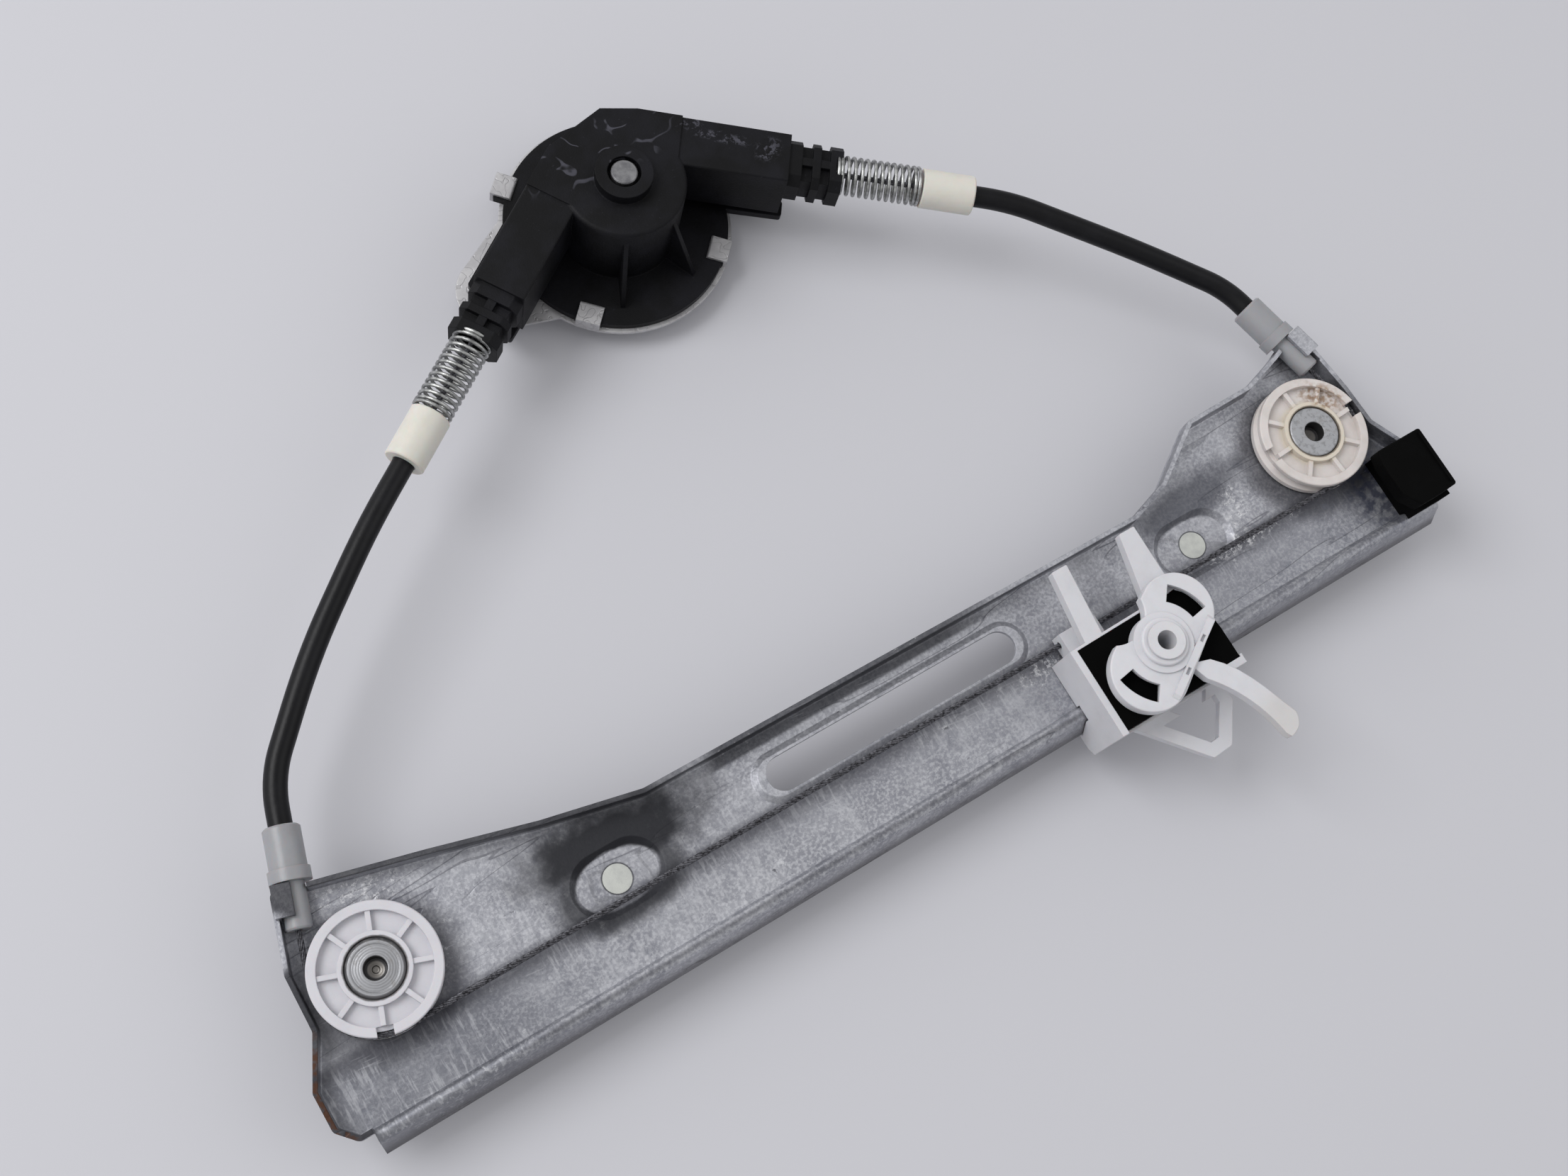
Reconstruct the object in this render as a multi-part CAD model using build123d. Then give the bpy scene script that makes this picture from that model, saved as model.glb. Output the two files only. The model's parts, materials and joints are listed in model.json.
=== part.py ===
# Cable-driven window regulator: a pressed rail with a pulley at each end, a
# carrier that slides on the rail's bead and holds the glass, and a cable drum
# whose two sprung conduits lead to the pulleys. Millimetres, +Z towards the
# side that faces the cabin. The origin is midway between the two mounting
# studs, on the face of their pads that meets the door panel.
import os
from math import cos, radians, sin, tan

from build123d import *

# Sheet rail
SHEET = 1.5
PAD_DEPTH = 2.0
PAD_SIZE = (27.0, 17.0)
PAD_SLOPE = 2.0
STUD_SPACING = 227.5
BEND_R = 1.2
FLANGE_H = 8.0
BEAD_R = 2.4
BEAD_BELOW_PULLEYS = 42.0
BEAD_LAND = 1.2
LIP_DROP = 8.0
LIP_SPREAD = 3.1
RAIL_LEFT = -22.0
RAIL_PAST_PULLEY = 29.0
SLOT_SIZE = (95.6, 11.5)
SLOT_ALONG = 179.4
SLOT_BELOW_PULLEYS = 9.75
SLOT_RIM_H = 1.5
SLOT_RIM_W = 5.2

# Pulleys, measured from the left pulley's axis
LEFT_PULLEY_X = -189.4
PULLEY_Y = 12.0
PULLEY_SPAN = 361.0
PULLEY_R = 20.0
PULLEY_W = 8.0
PULLEY_LIFT = 1.0
RIM_BAND = 3.0
HUB_R = 11.0
WEB_T = 3.0
RIB_COUNT = 8
RIB_T = 1.6
RIB_BELOW_FACE = 0.5
RIM_NOTCH = (5.0, 3.3)
RIVET_HEAD_R = 8.9
RIVET_HEAD_T = 1.1
RIVET_SHOULDER_R = 5.0
RIVET_TAIL_R = 3.5
RIVET_HOLE_R = 3.55

# Cable and conduits
CABLE_R = 0.75
CABLE_WRAP_R = 19.2
LEFT_TANGENT = 163.0
RIGHT_TANGENT = 13.7
CONDUIT_R = 3.7
CONDUIT_IN_SOCKET = 8.0
CONDUIT_IN_FERRULE = 9.0
SOCKET_MOUTH = 47.5
SLEEVE_R = 5.7
SLEEVE_LENGTH = 13.0
COLLAR_R = 6.4
COLLAR_LENGTH = 4.0
NECK_R = 4.0
NECK_LENGTH = 14.2
TAB_LENGTH = 10.0
FERRULE_R = 6.8
FERRULE_LENGTH = 18.5
SPRING_R = 6.5
SPRING_WIRE = 1.3
SPRING_LENGTH = 28.5
SPRING_IN_CUP = 2.2

# Drum housing, measured from the drum's shaft
SHAFT_X = 1.5
SHAFT_Y = 199.5
LEFT_ARM_ANGLE = 34.3
RIGHT_ARM_ANGLE = 36.0
ARM_AXIS_Z = 11.0
ARM_LENGTH = 55.3
ARM_W = 18.2
ARM_ABOVE_AXIS = 7.0
ARM_DEPTH = 23.0
ARM_FOOT = ((0, -7.5), (57.5, -6.2), (57.5, -1), (46, 16), (10, 16))
NOZZLE_LENGTH = 18.7
NOZZLE_W = 17.6
NOZZLE_H = 15.0
NOZZLE_DROP = 1.5
NOZZLE_CORE = 4.4
NOZZLE_FLANGES = ((0, 4.5), (8.2, 2.8), (14.3, 4.4))
BASE_R = 39.4
BASE_T = 3.0
BASE_Z = -12.0
CHAMBER_R = 19.4
CHAMBER_WALL = 2.2
ROOF_T = 3.0
ROOF_PEAK = (6.0, 26.4)
ROOF_STEP = 17.5
BOSS_T = 0.6
BOSS_RING_R = 9.8
BOSS_RING_H = 4.4
PIN_R = 4.5
PIN_RECESS = 1.2
DRUM_WRAP_R = 18.0
DRUM_H = 15.0
DRUM_GROOVES = 6
COVER_T = 1.2
TAB_W = 8.5
TAB_REACH = 7.5
LUG_PAST_BASE = 3.6
TABS = ((134.5, BASE_R + LUG_PAST_BASE), (226.0, BASE_R), (316.0, BASE_R))
GUSSET_ANGLES = (-116.0, -65.0)
GUSSET_END = 33.0
GUSSET_T = 1.6
EAR_PLACE = (-49.0, -3.5)
EAR_R = 14.0
EAR_HOLE_R = 3.2
SHAFT_R = 7.0
SPLINE_R = 6.2
SPLINE_TEETH = 12
BRAKE_CUP_R = 15.0
BRAKE_WALL = 1.5
BRAKE_H = 8.0
BRAKE_WIRE = 1.6

# Studs reach as far back as the shaft's splined end
STUD_HEAD_R = 4.7
STUD_R = 3.0
STUD_LENGTH = 20.5

# Carrier and clamp, measured from the left pulley's axis
CARRIER_LEFT = 234.0
CARRIER_RIGHT = 286.0
CARRIER_TOP = 20.0
DECK_Z = 9.5
CARRIER_HEAD_Y = -23.8
CABLE_SHELF_Y = -16.3
CABLE_SHELF_X = (238.6, 253.0)
CARRIER_FOOT_Y = -55.5
HOOK_T = 1.8
WALL_T = 2.4
RIM_T = 0.9
FINGER_T = 4.2
FINGER_TIP_Y = 1.3
LEFT_FINGER = ((240.1, 247.0), (243.6, 249.6))
RIGHT_FINGER = ((265.3, 277.2), (271.2, 277.3))
NIPPLE_R = 2.4
NIPPLE_LENGTH = 6.4
NIPPLE_GAP = 0.6
LOOP_BAR = 4.6
LOOP_TOP = 7.5
LOOP_T = 3.2
CLAMP_PLACE = (261.1, -36.6)
CLAMP_T = 4.4
CLAMP_AXIS = 32.0
CLAMP_LOBES = ((12.4, 13.0), (13.3, 10.8))
CLAMP_BITE = (1.0, 19.0)
CLAMP_BITE_R = 11.0
CLAMP_HUB_R = 8.0
CLAMP_HUB_H = 2.4
CLAMP_SLOT_R = 16.7
CLAMP_SLOT_W = 4.7
CLAMP_SLOT_SWEEP = 40.0
CLAMP_SLOT_TURN = -2.0
LEVER_ROOT = (4.0, -10.0)
LEVER_OUTER = ((17.0, -14.0), (24.2, -26.0), (26.4, -39.5))
LEVER_TIP = ((24.6, -44.6), (20.4, -46.4))
LEVER_INNER = ((19.4, -44.6), (15.6, -31.0), (6.5, -17.0))
BUSH_R = 5.0
BUSH_BORE_R = 3.2
BUSH_FLANGE_R = 6.3
BUSH_FLANGE_T = 1.0

# End stop
STOP_PAST_PULLEY = 10.5
STOP_LENGTH = 20.3
STOP_TOP = 16.0
STOP_HEAD_T = 6.0
STOP_OVERHANG = 4.5
STOP_HEAD_Y = -17.5
STOP_FOOT_Y = -41.0

# Clearances
RUN_FIT = 0.05
PRESS_FIT = 0.02
SLIDE_GAP = 0.35
CABLE_GAP = 0.30
STACK_GAP = 0.30

# Levels and places that follow from the sizes above
PLATE_TOP = SHEET + PAD_DEPTH
CABLE_Z = PULLEY_LIFT + PULLEY_W / 2
PULLEY_FACE = PULLEY_LIFT + PULLEY_W
BEAD_Y = -BEAD_BELOW_PULLEYS
BEAD_IN = BEAD_Y + BEAD_R
BEAD_OUT = BEAD_Y - BEAD_R
LIP_Y = BEAD_OUT - LIP_SPREAD
MOUTH_X = ARM_LENGTH + NOZZLE_LENGTH
FERRULE_START = MOUTH_X + SPRING_LENGTH
FERRULE_END = FERRULE_START + FERRULE_LENGTH
SOCKET_END = SOCKET_MOUTH - SLEEVE_LENGTH - COLLAR_LENGTH - NECK_LENGTH
ARM_TOP = ARM_AXIS_Z + ARM_ABOVE_AXIS
CHAMBER_TOP = ARM_TOP - ROOF_T
BASE_BOTTOM = BASE_Z - BASE_T
COVER_BOTTOM = BASE_BOTTOM - COVER_T
PIN_TOP = ARM_TOP + BOSS_T + BOSS_RING_H
SHAFT_END = -STUD_LENGTH - PLATE_TOP
CLAMP_Z = CARRIER_TOP + STACK_GAP
RAIL_RIGHT = PULLEY_SPAN + RAIL_PAST_PULLEY
STOP_LEFT = PULLEY_SPAN + STOP_PAST_PULLEY
STOP_RIGHT = STOP_LEFT + STOP_LENGTH
NIPPLE_X = (CABLE_SHELF_X[0] + 0.5, CABLE_SHELF_X[0] + 0.5 + NIPPLE_LENGTH + NIPPLE_GAP)

# Each conduit's route: straight lead, middle point, straight end
LEFT_BEND = (15, 27.0, 93.5, 24)
RIGHT_BEND = (10, PULLEY_SPAN - 18.0, 87.5, 14)

RAIL_FRAME = Pos(LEFT_PULLEY_X, PULLEY_Y, PLATE_TOP)
HOUSING_FRAME = Pos(SHAFT_X, SHAFT_Y, PLATE_TOP)
SHAFT_ALONG = SHAFT_X - LEFT_PULLEY_X
SHAFT_ABOVE = SHAFT_Y - PULLEY_Y


def polygon(points, radius=0.0):
    """A flat face through the points, its corners rounded to the radius."""
    face = make_face(Polyline(*points, close=True))
    if radius:
        face = fillet(face.vertices(), radius)
    return face


def slab(face, low, high):
    """The face drawn on the ground plane, extruded from one level to another."""
    return extrude(Pos(0, 0, low) * face, high - low)


def block(x, y, z):
    """A box between two places along each axis."""
    size = (x[1] - x[0], y[1] - y[0], z[1] - z[0])
    middle = ((x[0] + x[1]) / 2, (y[0] + y[1]) / 2, (z[0] + z[1]) / 2)
    return Pos(*middle) * Box(*size)


def ring(outer, inner, low, high):
    """A tube round the Z axis between two levels."""
    tube = Pos(0, 0, (low + high) / 2) * Cylinder(outer, high - low)
    if inner:
        tube -= Pos(0, 0, (low + high) / 2) * Cylinder(inner, high - low)
    return tube


def turned(points):
    """A solid of revolution round Z from its half section, as (radius, height)."""
    section = make_face(Polyline(*[(r, 0, z) for r, z in points], close=True))
    return revolve(section, Axis.Z)


def pressed(size, slope, low, high):
    """A slot-shaped pressing whose sides slope in by the given width."""
    base = SlotOverall(*size)
    crown = SlotOverall(size[0] - 2 * slope, size[1] - 2 * slope)
    return loft([Pos(0, 0, low) * base, Pos(0, 0, high) * crown])


def on_circle(radius, angle):
    """A place on a circle, for an angle in degrees."""
    return radius * cos(radians(angle)), radius * sin(radians(angle))


def tangent_frame(pulley_x, angle, side):
    """Location on a pulley's wrap circle, with Z along the cable that leaves it."""
    x, y = on_circle(CABLE_WRAP_R, angle)
    away = (-side * sin(radians(angle)), side * cos(radians(angle)), 0)
    place = Plane(origin=(pulley_x + x, y, CABLE_Z), x_dir=(0, 0, 1), z_dir=away)
    return place.location


LEFT_LEAD = tangent_frame(0, LEFT_TANGENT, -1)
RIGHT_LEAD = tangent_frame(PULLEY_SPAN, RIGHT_TANGENT, 1)


def arm_frame(side):
    """Location on one arm: X along its cable, Y square to it, Z up."""
    if side > 0:
        return Rot(0, 0, -RIGHT_ARM_ANGLE) * Pos(0, DRUM_WRAP_R, 0)
    return Rot(0, 0, 180 + LEFT_ARM_ANGLE) * Pos(0, -DRUM_WRAP_R, 0)


def cable_frame(side, along):
    """Location on one arm's cable, in the rail's frame, with Z along the cable."""
    return Pos(SHAFT_ALONG, SHAFT_ABOVE, 0) * arm_frame(side) * Pos(along, 0, ARM_AXIS_Z) * Rot(0, 90, 0)


def rail_outline():
    """The plate's outline, as seen from the cabin, from the left pulley's axis."""
    lead = (LEFT_LEAD * Pos(0, 0, SOCKET_END + NECK_LENGTH)).position
    left_tab = (lead.X - 6.7, lead.Y + 0.2)
    wall = PULLEY_R + SHEET + 0.7
    foot = BEAD_IN - 1.3
    left_end = [(-26.5, foot), (-31.7, foot + 6), (-31.7, -22.5)]
    left_end += [(-wall - 1.6, -7.0), (-wall - 1.2, 11.0), left_tab]
    head = [(2.3, 30.4), (29, 23.6), (62.5, 14.4), (95, 7.3)]
    tab_wall = NECK_R + SLIDE_GAP + SHEET
    tab_ends = (SOCKET_END + NECK_LENGTH, SOCKET_END + NECK_LENGTH - TAB_LENGTH)
    right_tab = [(RIGHT_LEAD * Pos(0, tab_wall, end)).position for end in tab_ends]
    right_tab = [(place.X, place.Y) for place in right_tab]
    shoulder = [(-75, 5.6), (-59.5, 10.6), (-38, 25), (-11, 25.6), (4.5, 30.4)]
    head += [(PULLEY_SPAN + x, y) for x, y in shoulder]
    right_end = right_tab + [(PULLEY_SPAN + wall - 0.6, 8.0)]
    right_end += [(PULLEY_SPAN + wall, -6.3), (RAIL_RIGHT - 1.7, -16.5)]
    right_end += [(RAIL_RIGHT + 0.6, -24), (RAIL_RIGHT + 0.6, foot)]
    return polygon(left_end + head + right_end, 2.2)


def bead_section():
    """Section of the rail's lower edge: plate, half-round bead, sloping lip."""
    back_r = BEAD_R - SHEET
    slope = (LIP_SPREAD**2 + LIP_DROP**2) ** 0.5
    back = (LIP_DROP * SHEET / slope, -LIP_SPREAD * SHEET / slope)
    start = BEAD_IN + BEAD_LAND
    front = [
        Line((start, 0), (BEAD_IN, 0)),
        ThreePointArc((BEAD_IN, 0), (BEAD_Y, BEAD_R), (BEAD_OUT, 0)),
        Line((BEAD_OUT, 0), (LIP_Y, -LIP_DROP)),
    ]
    inner_edge = BEAD_Y + back_r
    rear = [
        Line((LIP_Y, -LIP_DROP), (LIP_Y + back[0], -LIP_DROP + back[1])),
        Line((LIP_Y + back[0], -LIP_DROP + back[1]), (BEAD_Y - back_r, 0)),
        ThreePointArc((BEAD_Y - back_r, 0), (BEAD_Y, back_r), (inner_edge, 0)),
        Line((inner_edge, 0), (inner_edge, -SHEET)),
        Line((inner_edge, -SHEET), (start, -SHEET)),
        Line((start, -SHEET), (start, 0)),
    ]
    return make_face(Curve() + front + rear)


def socket_tab(lead, side):
    """A tab of the rail folded up and over one half of a socket's neck."""
    far = NECK_R + SLIDE_GAP + SHEET
    roof = NECK_R + SLIDE_GAP
    wall = block((-CABLE_Z - SHEET, roof + SHEET), sorted((side * (far - SHEET), side * far)), (0, TAB_LENGTH))
    lid = block((roof, roof + SHEET), sorted((0, side * far)), (0, TAB_LENGTH))
    return lead * Pos(0, 0, SOCKET_END + NECK_LENGTH - TAB_LENGTH - SLIDE_GAP) * (wall + lid)


def rail():
    outline = rail_outline()
    tray = slab(outline, -SHEET, FLANGE_H)
    tray = fillet(tray.faces().sort_by(Axis.Z)[0].edges(), BEND_R + 0.3)
    inside = slab(offset(outline, -SHEET), 0, FLANGE_H + 1)
    inside = fillet(inside.faces().sort_by(Axis.Z)[0].edges(), BEND_R - 0.6)
    tray -= inside
    tray -= block((RAIL_LEFT, RAIL_RIGHT + 9), (BEAD_IN - 9, BEAD_IN + BEAD_LAND), (-9, FLANGE_H + 1))
    tray -= block((STOP_LEFT - 1, RAIL_RIGHT + 9), (BEAD_IN - 9, STOP_HEAD_Y + 0.2), (0, FLANGE_H + 1))
    for lead in (LEFT_LEAD, RIGHT_LEAD):
        neck = Cylinder(NECK_R + SLIDE_GAP, SOCKET_MOUTH, align=(Align.CENTER, Align.CENTER, Align.MIN))
        mouth = block((-CABLE_Z, FLANGE_H), (-NECK_R - SLIDE_GAP, NECK_R + SLIDE_GAP), (0, SOCKET_MOUTH))
        tray -= lead * Pos(0, 0, SOCKET_END) * (neck + mouth)
    lower = extrude(Plane.YZ.offset(RAIL_LEFT) * bead_section(), RAIL_RIGHT - RAIL_LEFT)
    body = tray + lower
    body += socket_tab(LEFT_LEAD, -1) + socket_tab(RIGHT_LEAD, 1)
    slot_place = Pos(SLOT_ALONG, -SLOT_BELOW_PULLEYS, 0)
    rim = (SLOT_SIZE[0] + 2 * SLOT_RIM_W, SLOT_SIZE[1] + SLOT_RIM_W + 1.0)
    hollow = (rim[0] - 2 * SHEET, rim[1] - 2 * SHEET)
    body += slot_place * pressed(rim, 2.2, -0.2, SLOT_RIM_H)
    body -= slot_place * pressed(hollow, 2.2, -SHEET - 0.01, SLOT_RIM_H - SHEET)
    body -= slot_place * slab(SlotOverall(*SLOT_SIZE), -9, 9)
    for side in (-1, 1):
        place = Pos(-LEFT_PULLEY_X + side * STUD_SPACING / 2, -PULLEY_Y, 0)
        outer = (PAD_SIZE[0] + 2 * PAD_SLOPE, PAD_SIZE[1] + 2 * PAD_SLOPE)
        under = (outer[0] - 1.6, outer[1] - 1.6)
        body += place * Rot(180, 0, 0) * pressed(under, PAD_SLOPE, SHEET - 0.5, SHEET + PAD_DEPTH)
        body -= place * Rot(180, 0, 0) * pressed(outer, PAD_SLOPE, -0.01, PAD_DEPTH)
        body -= place * slab(Circle(STUD_HEAD_R), -9, 9)
    for x in (0, PULLEY_SPAN):
        body -= Pos(x, 0, 0) * slab(Circle(RIVET_TAIL_R + PRESS_FIT), -9, 9)
    return body


def stud(side):
    """A pressed-in stud: flush head, plain shank with a pointed end."""
    head = ring(STUD_HEAD_R - PRESS_FIT, 0, 0, SHEET)
    shank = ring(STUD_R, 0, -STUD_LENGTH, 0)
    shank = chamfer(shank.faces().sort_by(Axis.Z)[0].edges(), 0.8)
    return Pos(side * STUD_SPACING / 2, 0, 0) * (head + shank)


def pulley(place, turn, notches):
    """A grooved pulley with a ribbed web on the side that shows."""
    groove_r = CABLE_WRAP_R - CABLE_R - CABLE_GAP
    half = CABLE_R + CABLE_GAP
    flare = 0.9
    low, high = PULLEY_LIFT, PULLEY_FACE
    web_low = CABLE_Z - WEB_T / 2
    web_high = CABLE_Z + WEB_T / 2
    seat = high - RIVET_HEAD_T
    section = [
        (RIVET_SHOULDER_R + RUN_FIT, low),
        (HUB_R, low),
        (HUB_R, web_low),
        (PULLEY_R - RIM_BAND, web_low),
        (PULLEY_R - RIM_BAND, low),
        (PULLEY_R, low),
        (PULLEY_R, CABLE_Z - half - flare),
        (groove_r, CABLE_Z - half),
        (groove_r, CABLE_Z + half),
        (PULLEY_R, CABLE_Z + half + flare),
        (PULLEY_R, high - 0.3),
        (PULLEY_R - 0.3, high),
        (PULLEY_R - RIM_BAND, high),
        (PULLEY_R - RIM_BAND, web_high),
        (HUB_R, web_high),
        (HUB_R, high),
        (RIVET_HEAD_R + STACK_GAP, high),
        (RIVET_HEAD_R + STACK_GAP, seat - STACK_GAP),
        (RIVET_SHOULDER_R + RUN_FIT, seat - STACK_GAP),
    ]
    wheel = turned(section)
    span = (HUB_R - 0.4, PULLEY_R - RIM_BAND + 0.4)
    rib = block(span, (-RIB_T / 2, RIB_T / 2), (web_high - 0.5, high - RIB_BELOW_FACE))
    for number in range(RIB_COUNT):
        wheel += Rot(0, 0, 360 / RIB_COUNT * number + turn) * rib
    width, depth = RIM_NOTCH
    notch = block((PULLEY_R - depth, PULLEY_R + 1), (-width / 2, width / 2), (high - depth, high + 1))
    for angle in notches:
        wheel -= Rot(0, 0, angle) * notch
    return Pos(place, 0, 0) * wheel


def pulley_rivet(place):
    """A hollow shouldered rivet, its tail closed over the back of the rail."""
    head_low = PULLEY_FACE - RIVET_HEAD_T
    section = [
        (0, -SHEET - 1.6),
        (RIVET_TAIL_R + 2.2, -SHEET - 1.2),
        (RIVET_TAIL_R + 2.2, -SHEET),
        (RIVET_TAIL_R, -SHEET),
        (RIVET_TAIL_R, 0),
        (RIVET_SHOULDER_R, 0),
        (RIVET_SHOULDER_R, head_low),
        (RIVET_HEAD_R - 0.3, head_low),
        (RIVET_HEAD_R, head_low + 0.4),
        (RIVET_HEAD_R - 0.3, PULLEY_FACE),
        (RIVET_HOLE_R, PULLEY_FACE),
        (RIVET_HOLE_R, PULLEY_FACE - 5.0),
        (0, PULLEY_FACE - 5.6),
    ]
    return Pos(place, 0, 0) * turned(section)


def socket(lead):
    """A conduit's lower end piece: neck under the rail's tab, collar, sleeve."""
    bore = CONDUIT_R + SLIDE_GAP / 3
    neck_end = SOCKET_END + NECK_LENGTH
    collar_end = neck_end + COLLAR_LENGTH
    floor = SOCKET_MOUTH - CONDUIT_IN_SOCKET
    section = [
        (CABLE_R + CABLE_GAP, SOCKET_END),
        (NECK_R - 0.5, SOCKET_END),
        (NECK_R, SOCKET_END + 0.6),
        (NECK_R, neck_end),
        (COLLAR_R, neck_end),
        (COLLAR_R, collar_end),
        (SLEEVE_R, collar_end),
        (SLEEVE_R, SOCKET_MOUTH - 0.6),
        (SLEEVE_R - 0.6, SOCKET_MOUTH),
        (bore, SOCKET_MOUTH),
        (bore, floor),
        (CABLE_R + CABLE_GAP, floor),
    ]
    return lead * turned(section)


def ferrule(side):
    """A conduit's upper end piece, which the take-up spring pushes on."""
    bore = CONDUIT_R + SLIDE_GAP / 3
    section = [
        (CABLE_R + CABLE_GAP, 0),
        (FERRULE_R - 0.3, 0),
        (FERRULE_R, 0.3),
        (FERRULE_R, FERRULE_LENGTH - 0.4),
        (FERRULE_R - 0.4, FERRULE_LENGTH),
        (bore, FERRULE_LENGTH),
        (bore, FERRULE_LENGTH - CONDUIT_IN_FERRULE),
        (CABLE_R + CABLE_GAP, FERRULE_LENGTH - CONDUIT_IN_FERRULE),
    ]
    return cable_frame(side, FERRULE_START) * turned(section)


def take_up_spring(side):
    """Compression spring between the nozzle's cup and the ferrule."""
    length = SPRING_LENGTH + SPRING_IN_CUP
    tube = ring(SPRING_R, SPRING_R - SPRING_WIRE, 0, length)
    return cable_frame(side, MOUTH_X - SPRING_IN_CUP) * tube


def conduit(lead, side, middle):
    """A sheathed conduit, swept from inside its socket to inside its ferrule."""
    ferrule_end = cable_frame(side, FERRULE_END - CONDUIT_IN_FERRULE)
    start = (lead * Pos(0, 0, SOCKET_MOUTH - CONDUIT_IN_SOCKET)).position
    first = (lead * Pos(0, 0, SOCKET_MOUTH + middle[0])).position
    last = cable_frame(side, FERRULE_END + middle[3]).position
    centre = Vector(middle[1], middle[2], (CABLE_Z + ARM_AXIS_Z) / 2)
    points = [start, first, centre, last, ferrule_end.position]
    radii = []
    for before, corner, after in zip(points, points[1:], points[2:]):
        turn = radians((corner - before).get_angle(after - corner))
        run = min((corner - before).length, (after - corner).length)
        radii.append(0.42 * run / tan(turn / 2))
    print("conduit bend radii", [round(radius, 1) for radius in radii])
    path = FilletPolyline(*points, radius=radii)
    section = Plane(origin=path @ 0, z_dir=path % 0) * Circle(CONDUIT_R)
    return sweep(section, path=path)


def wire_cable():
    """The bare cable: socket, left pulley, straight run, right pulley, socket."""
    inside = SOCKET_MOUTH - CONDUIT_IN_SOCKET
    left_start = (LEFT_LEAD * Pos(0, 0, inside)).position
    right_end = (RIGHT_LEAD * Pos(0, 0, inside)).position
    left_arc = CenterArc((0, 0, CABLE_Z), CABLE_WRAP_R, LEFT_TANGENT, 270 - LEFT_TANGENT)
    right_arc = CenterArc((PULLEY_SPAN, 0, CABLE_Z), CABLE_WRAP_R, 270, 90 + RIGHT_TANGENT)
    path = Wire([
        Line(left_start, left_arc @ 0),
        left_arc,
        Line(left_arc @ 1, right_arc @ 0),
        right_arc,
        Line(right_arc @ 1, right_end),
    ])
    section = Plane(origin=path @ 0, z_dir=path % 0) * Circle(CABLE_R)
    return sweep(section, path=path)


def drum_cable(side):
    """The cable from inside a ferrule, through its spring, to the drum."""
    length = FERRULE_END - CONDUIT_IN_FERRULE
    return cable_frame(side, 0) * ring(CABLE_R, 0, 0, length)


def nozzle():
    """An arm's end along X: three chamfered flanges on a core, with ribs between."""
    middle = Pos(0, 0, -NOZZLE_DROP)
    core = (NOZZLE_W - NOZZLE_CORE, NOZZLE_H - NOZZLE_CORE)
    shape = middle * Pos(NOZZLE_LENGTH / 2, 0, 0) * Box(NOZZLE_LENGTH, *core)
    for start, width in NOZZLE_FLANGES:
        flange = chamfer(Box(width, NOZZLE_W, NOZZLE_H).edges().filter_by(Axis.X), 3.0)
        shape += middle * Pos(start + width / 2, 0, 0) * flange
    rib = (NOZZLE_LENGTH, 3.0, NOZZLE_H - 0.6)
    shape += middle * Pos(NOZZLE_LENGTH / 2, 0, 0) * Box(*rib)
    cup = Pos(NOZZLE_LENGTH, 0, 0) * Rot(0, 90, 0) * Cylinder(SPRING_R + 0.2, 2 * SPRING_IN_CUP)
    return shape - cup


def arm(side):
    """One arm of the housing with its web, base plate and nozzle."""
    out = 1 if side > 0 else -1
    low = ARM_TOP - ARM_DEPTH
    half = ARM_W / 2
    beam = block((0, ARM_LENGTH), (-half, half), (low, ARM_TOP))
    beam = fillet(beam.edges().filter_by(Axis.X).sort_by(Axis.Z)[-2:], 0.8)
    web = block((10, ARM_LENGTH), (-1.5, 1.5), (BASE_Z, low + 1))
    foot = polygon([(x, out * y) for x, y in ARM_FOOT], 1.0)
    plate = slab(foot, BASE_BOTTOM, BASE_Z)
    tip = Pos(ARM_LENGTH, 0, ARM_AXIS_Z) * nozzle()
    return arm_frame(side) * (beam + web + plate + tip)


def arm_corner(side, along, out):
    """A corner of one arm's top, from the shaft; out is 1 on the arm's outer side."""
    across = side * out * ARM_W / 2
    place = (arm_frame(side) * Pos(along, across, 0)).position
    return place.X, place.Y


def gusset(angle):
    """A stiffening rib from the drum chamber down to the base."""
    wall = CHAMBER_R + CHAMBER_WALL
    section = Polyline(
        (wall - 1, 0, BASE_Z - 1),
        (GUSSET_END, 0, BASE_Z - 1),
        (GUSSET_END, 0, BASE_Z + 0.8),
        (wall, 0, ARM_TOP - 5),
        (wall - 1, 0, ARM_TOP - 5),
        close=True,
    )
    rib = extrude(make_face(section), GUSSET_T, dir=(0, -1, 0))
    return Rot(0, 0, angle) * Pos(0, GUSSET_T / 2, 0) * rib


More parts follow.
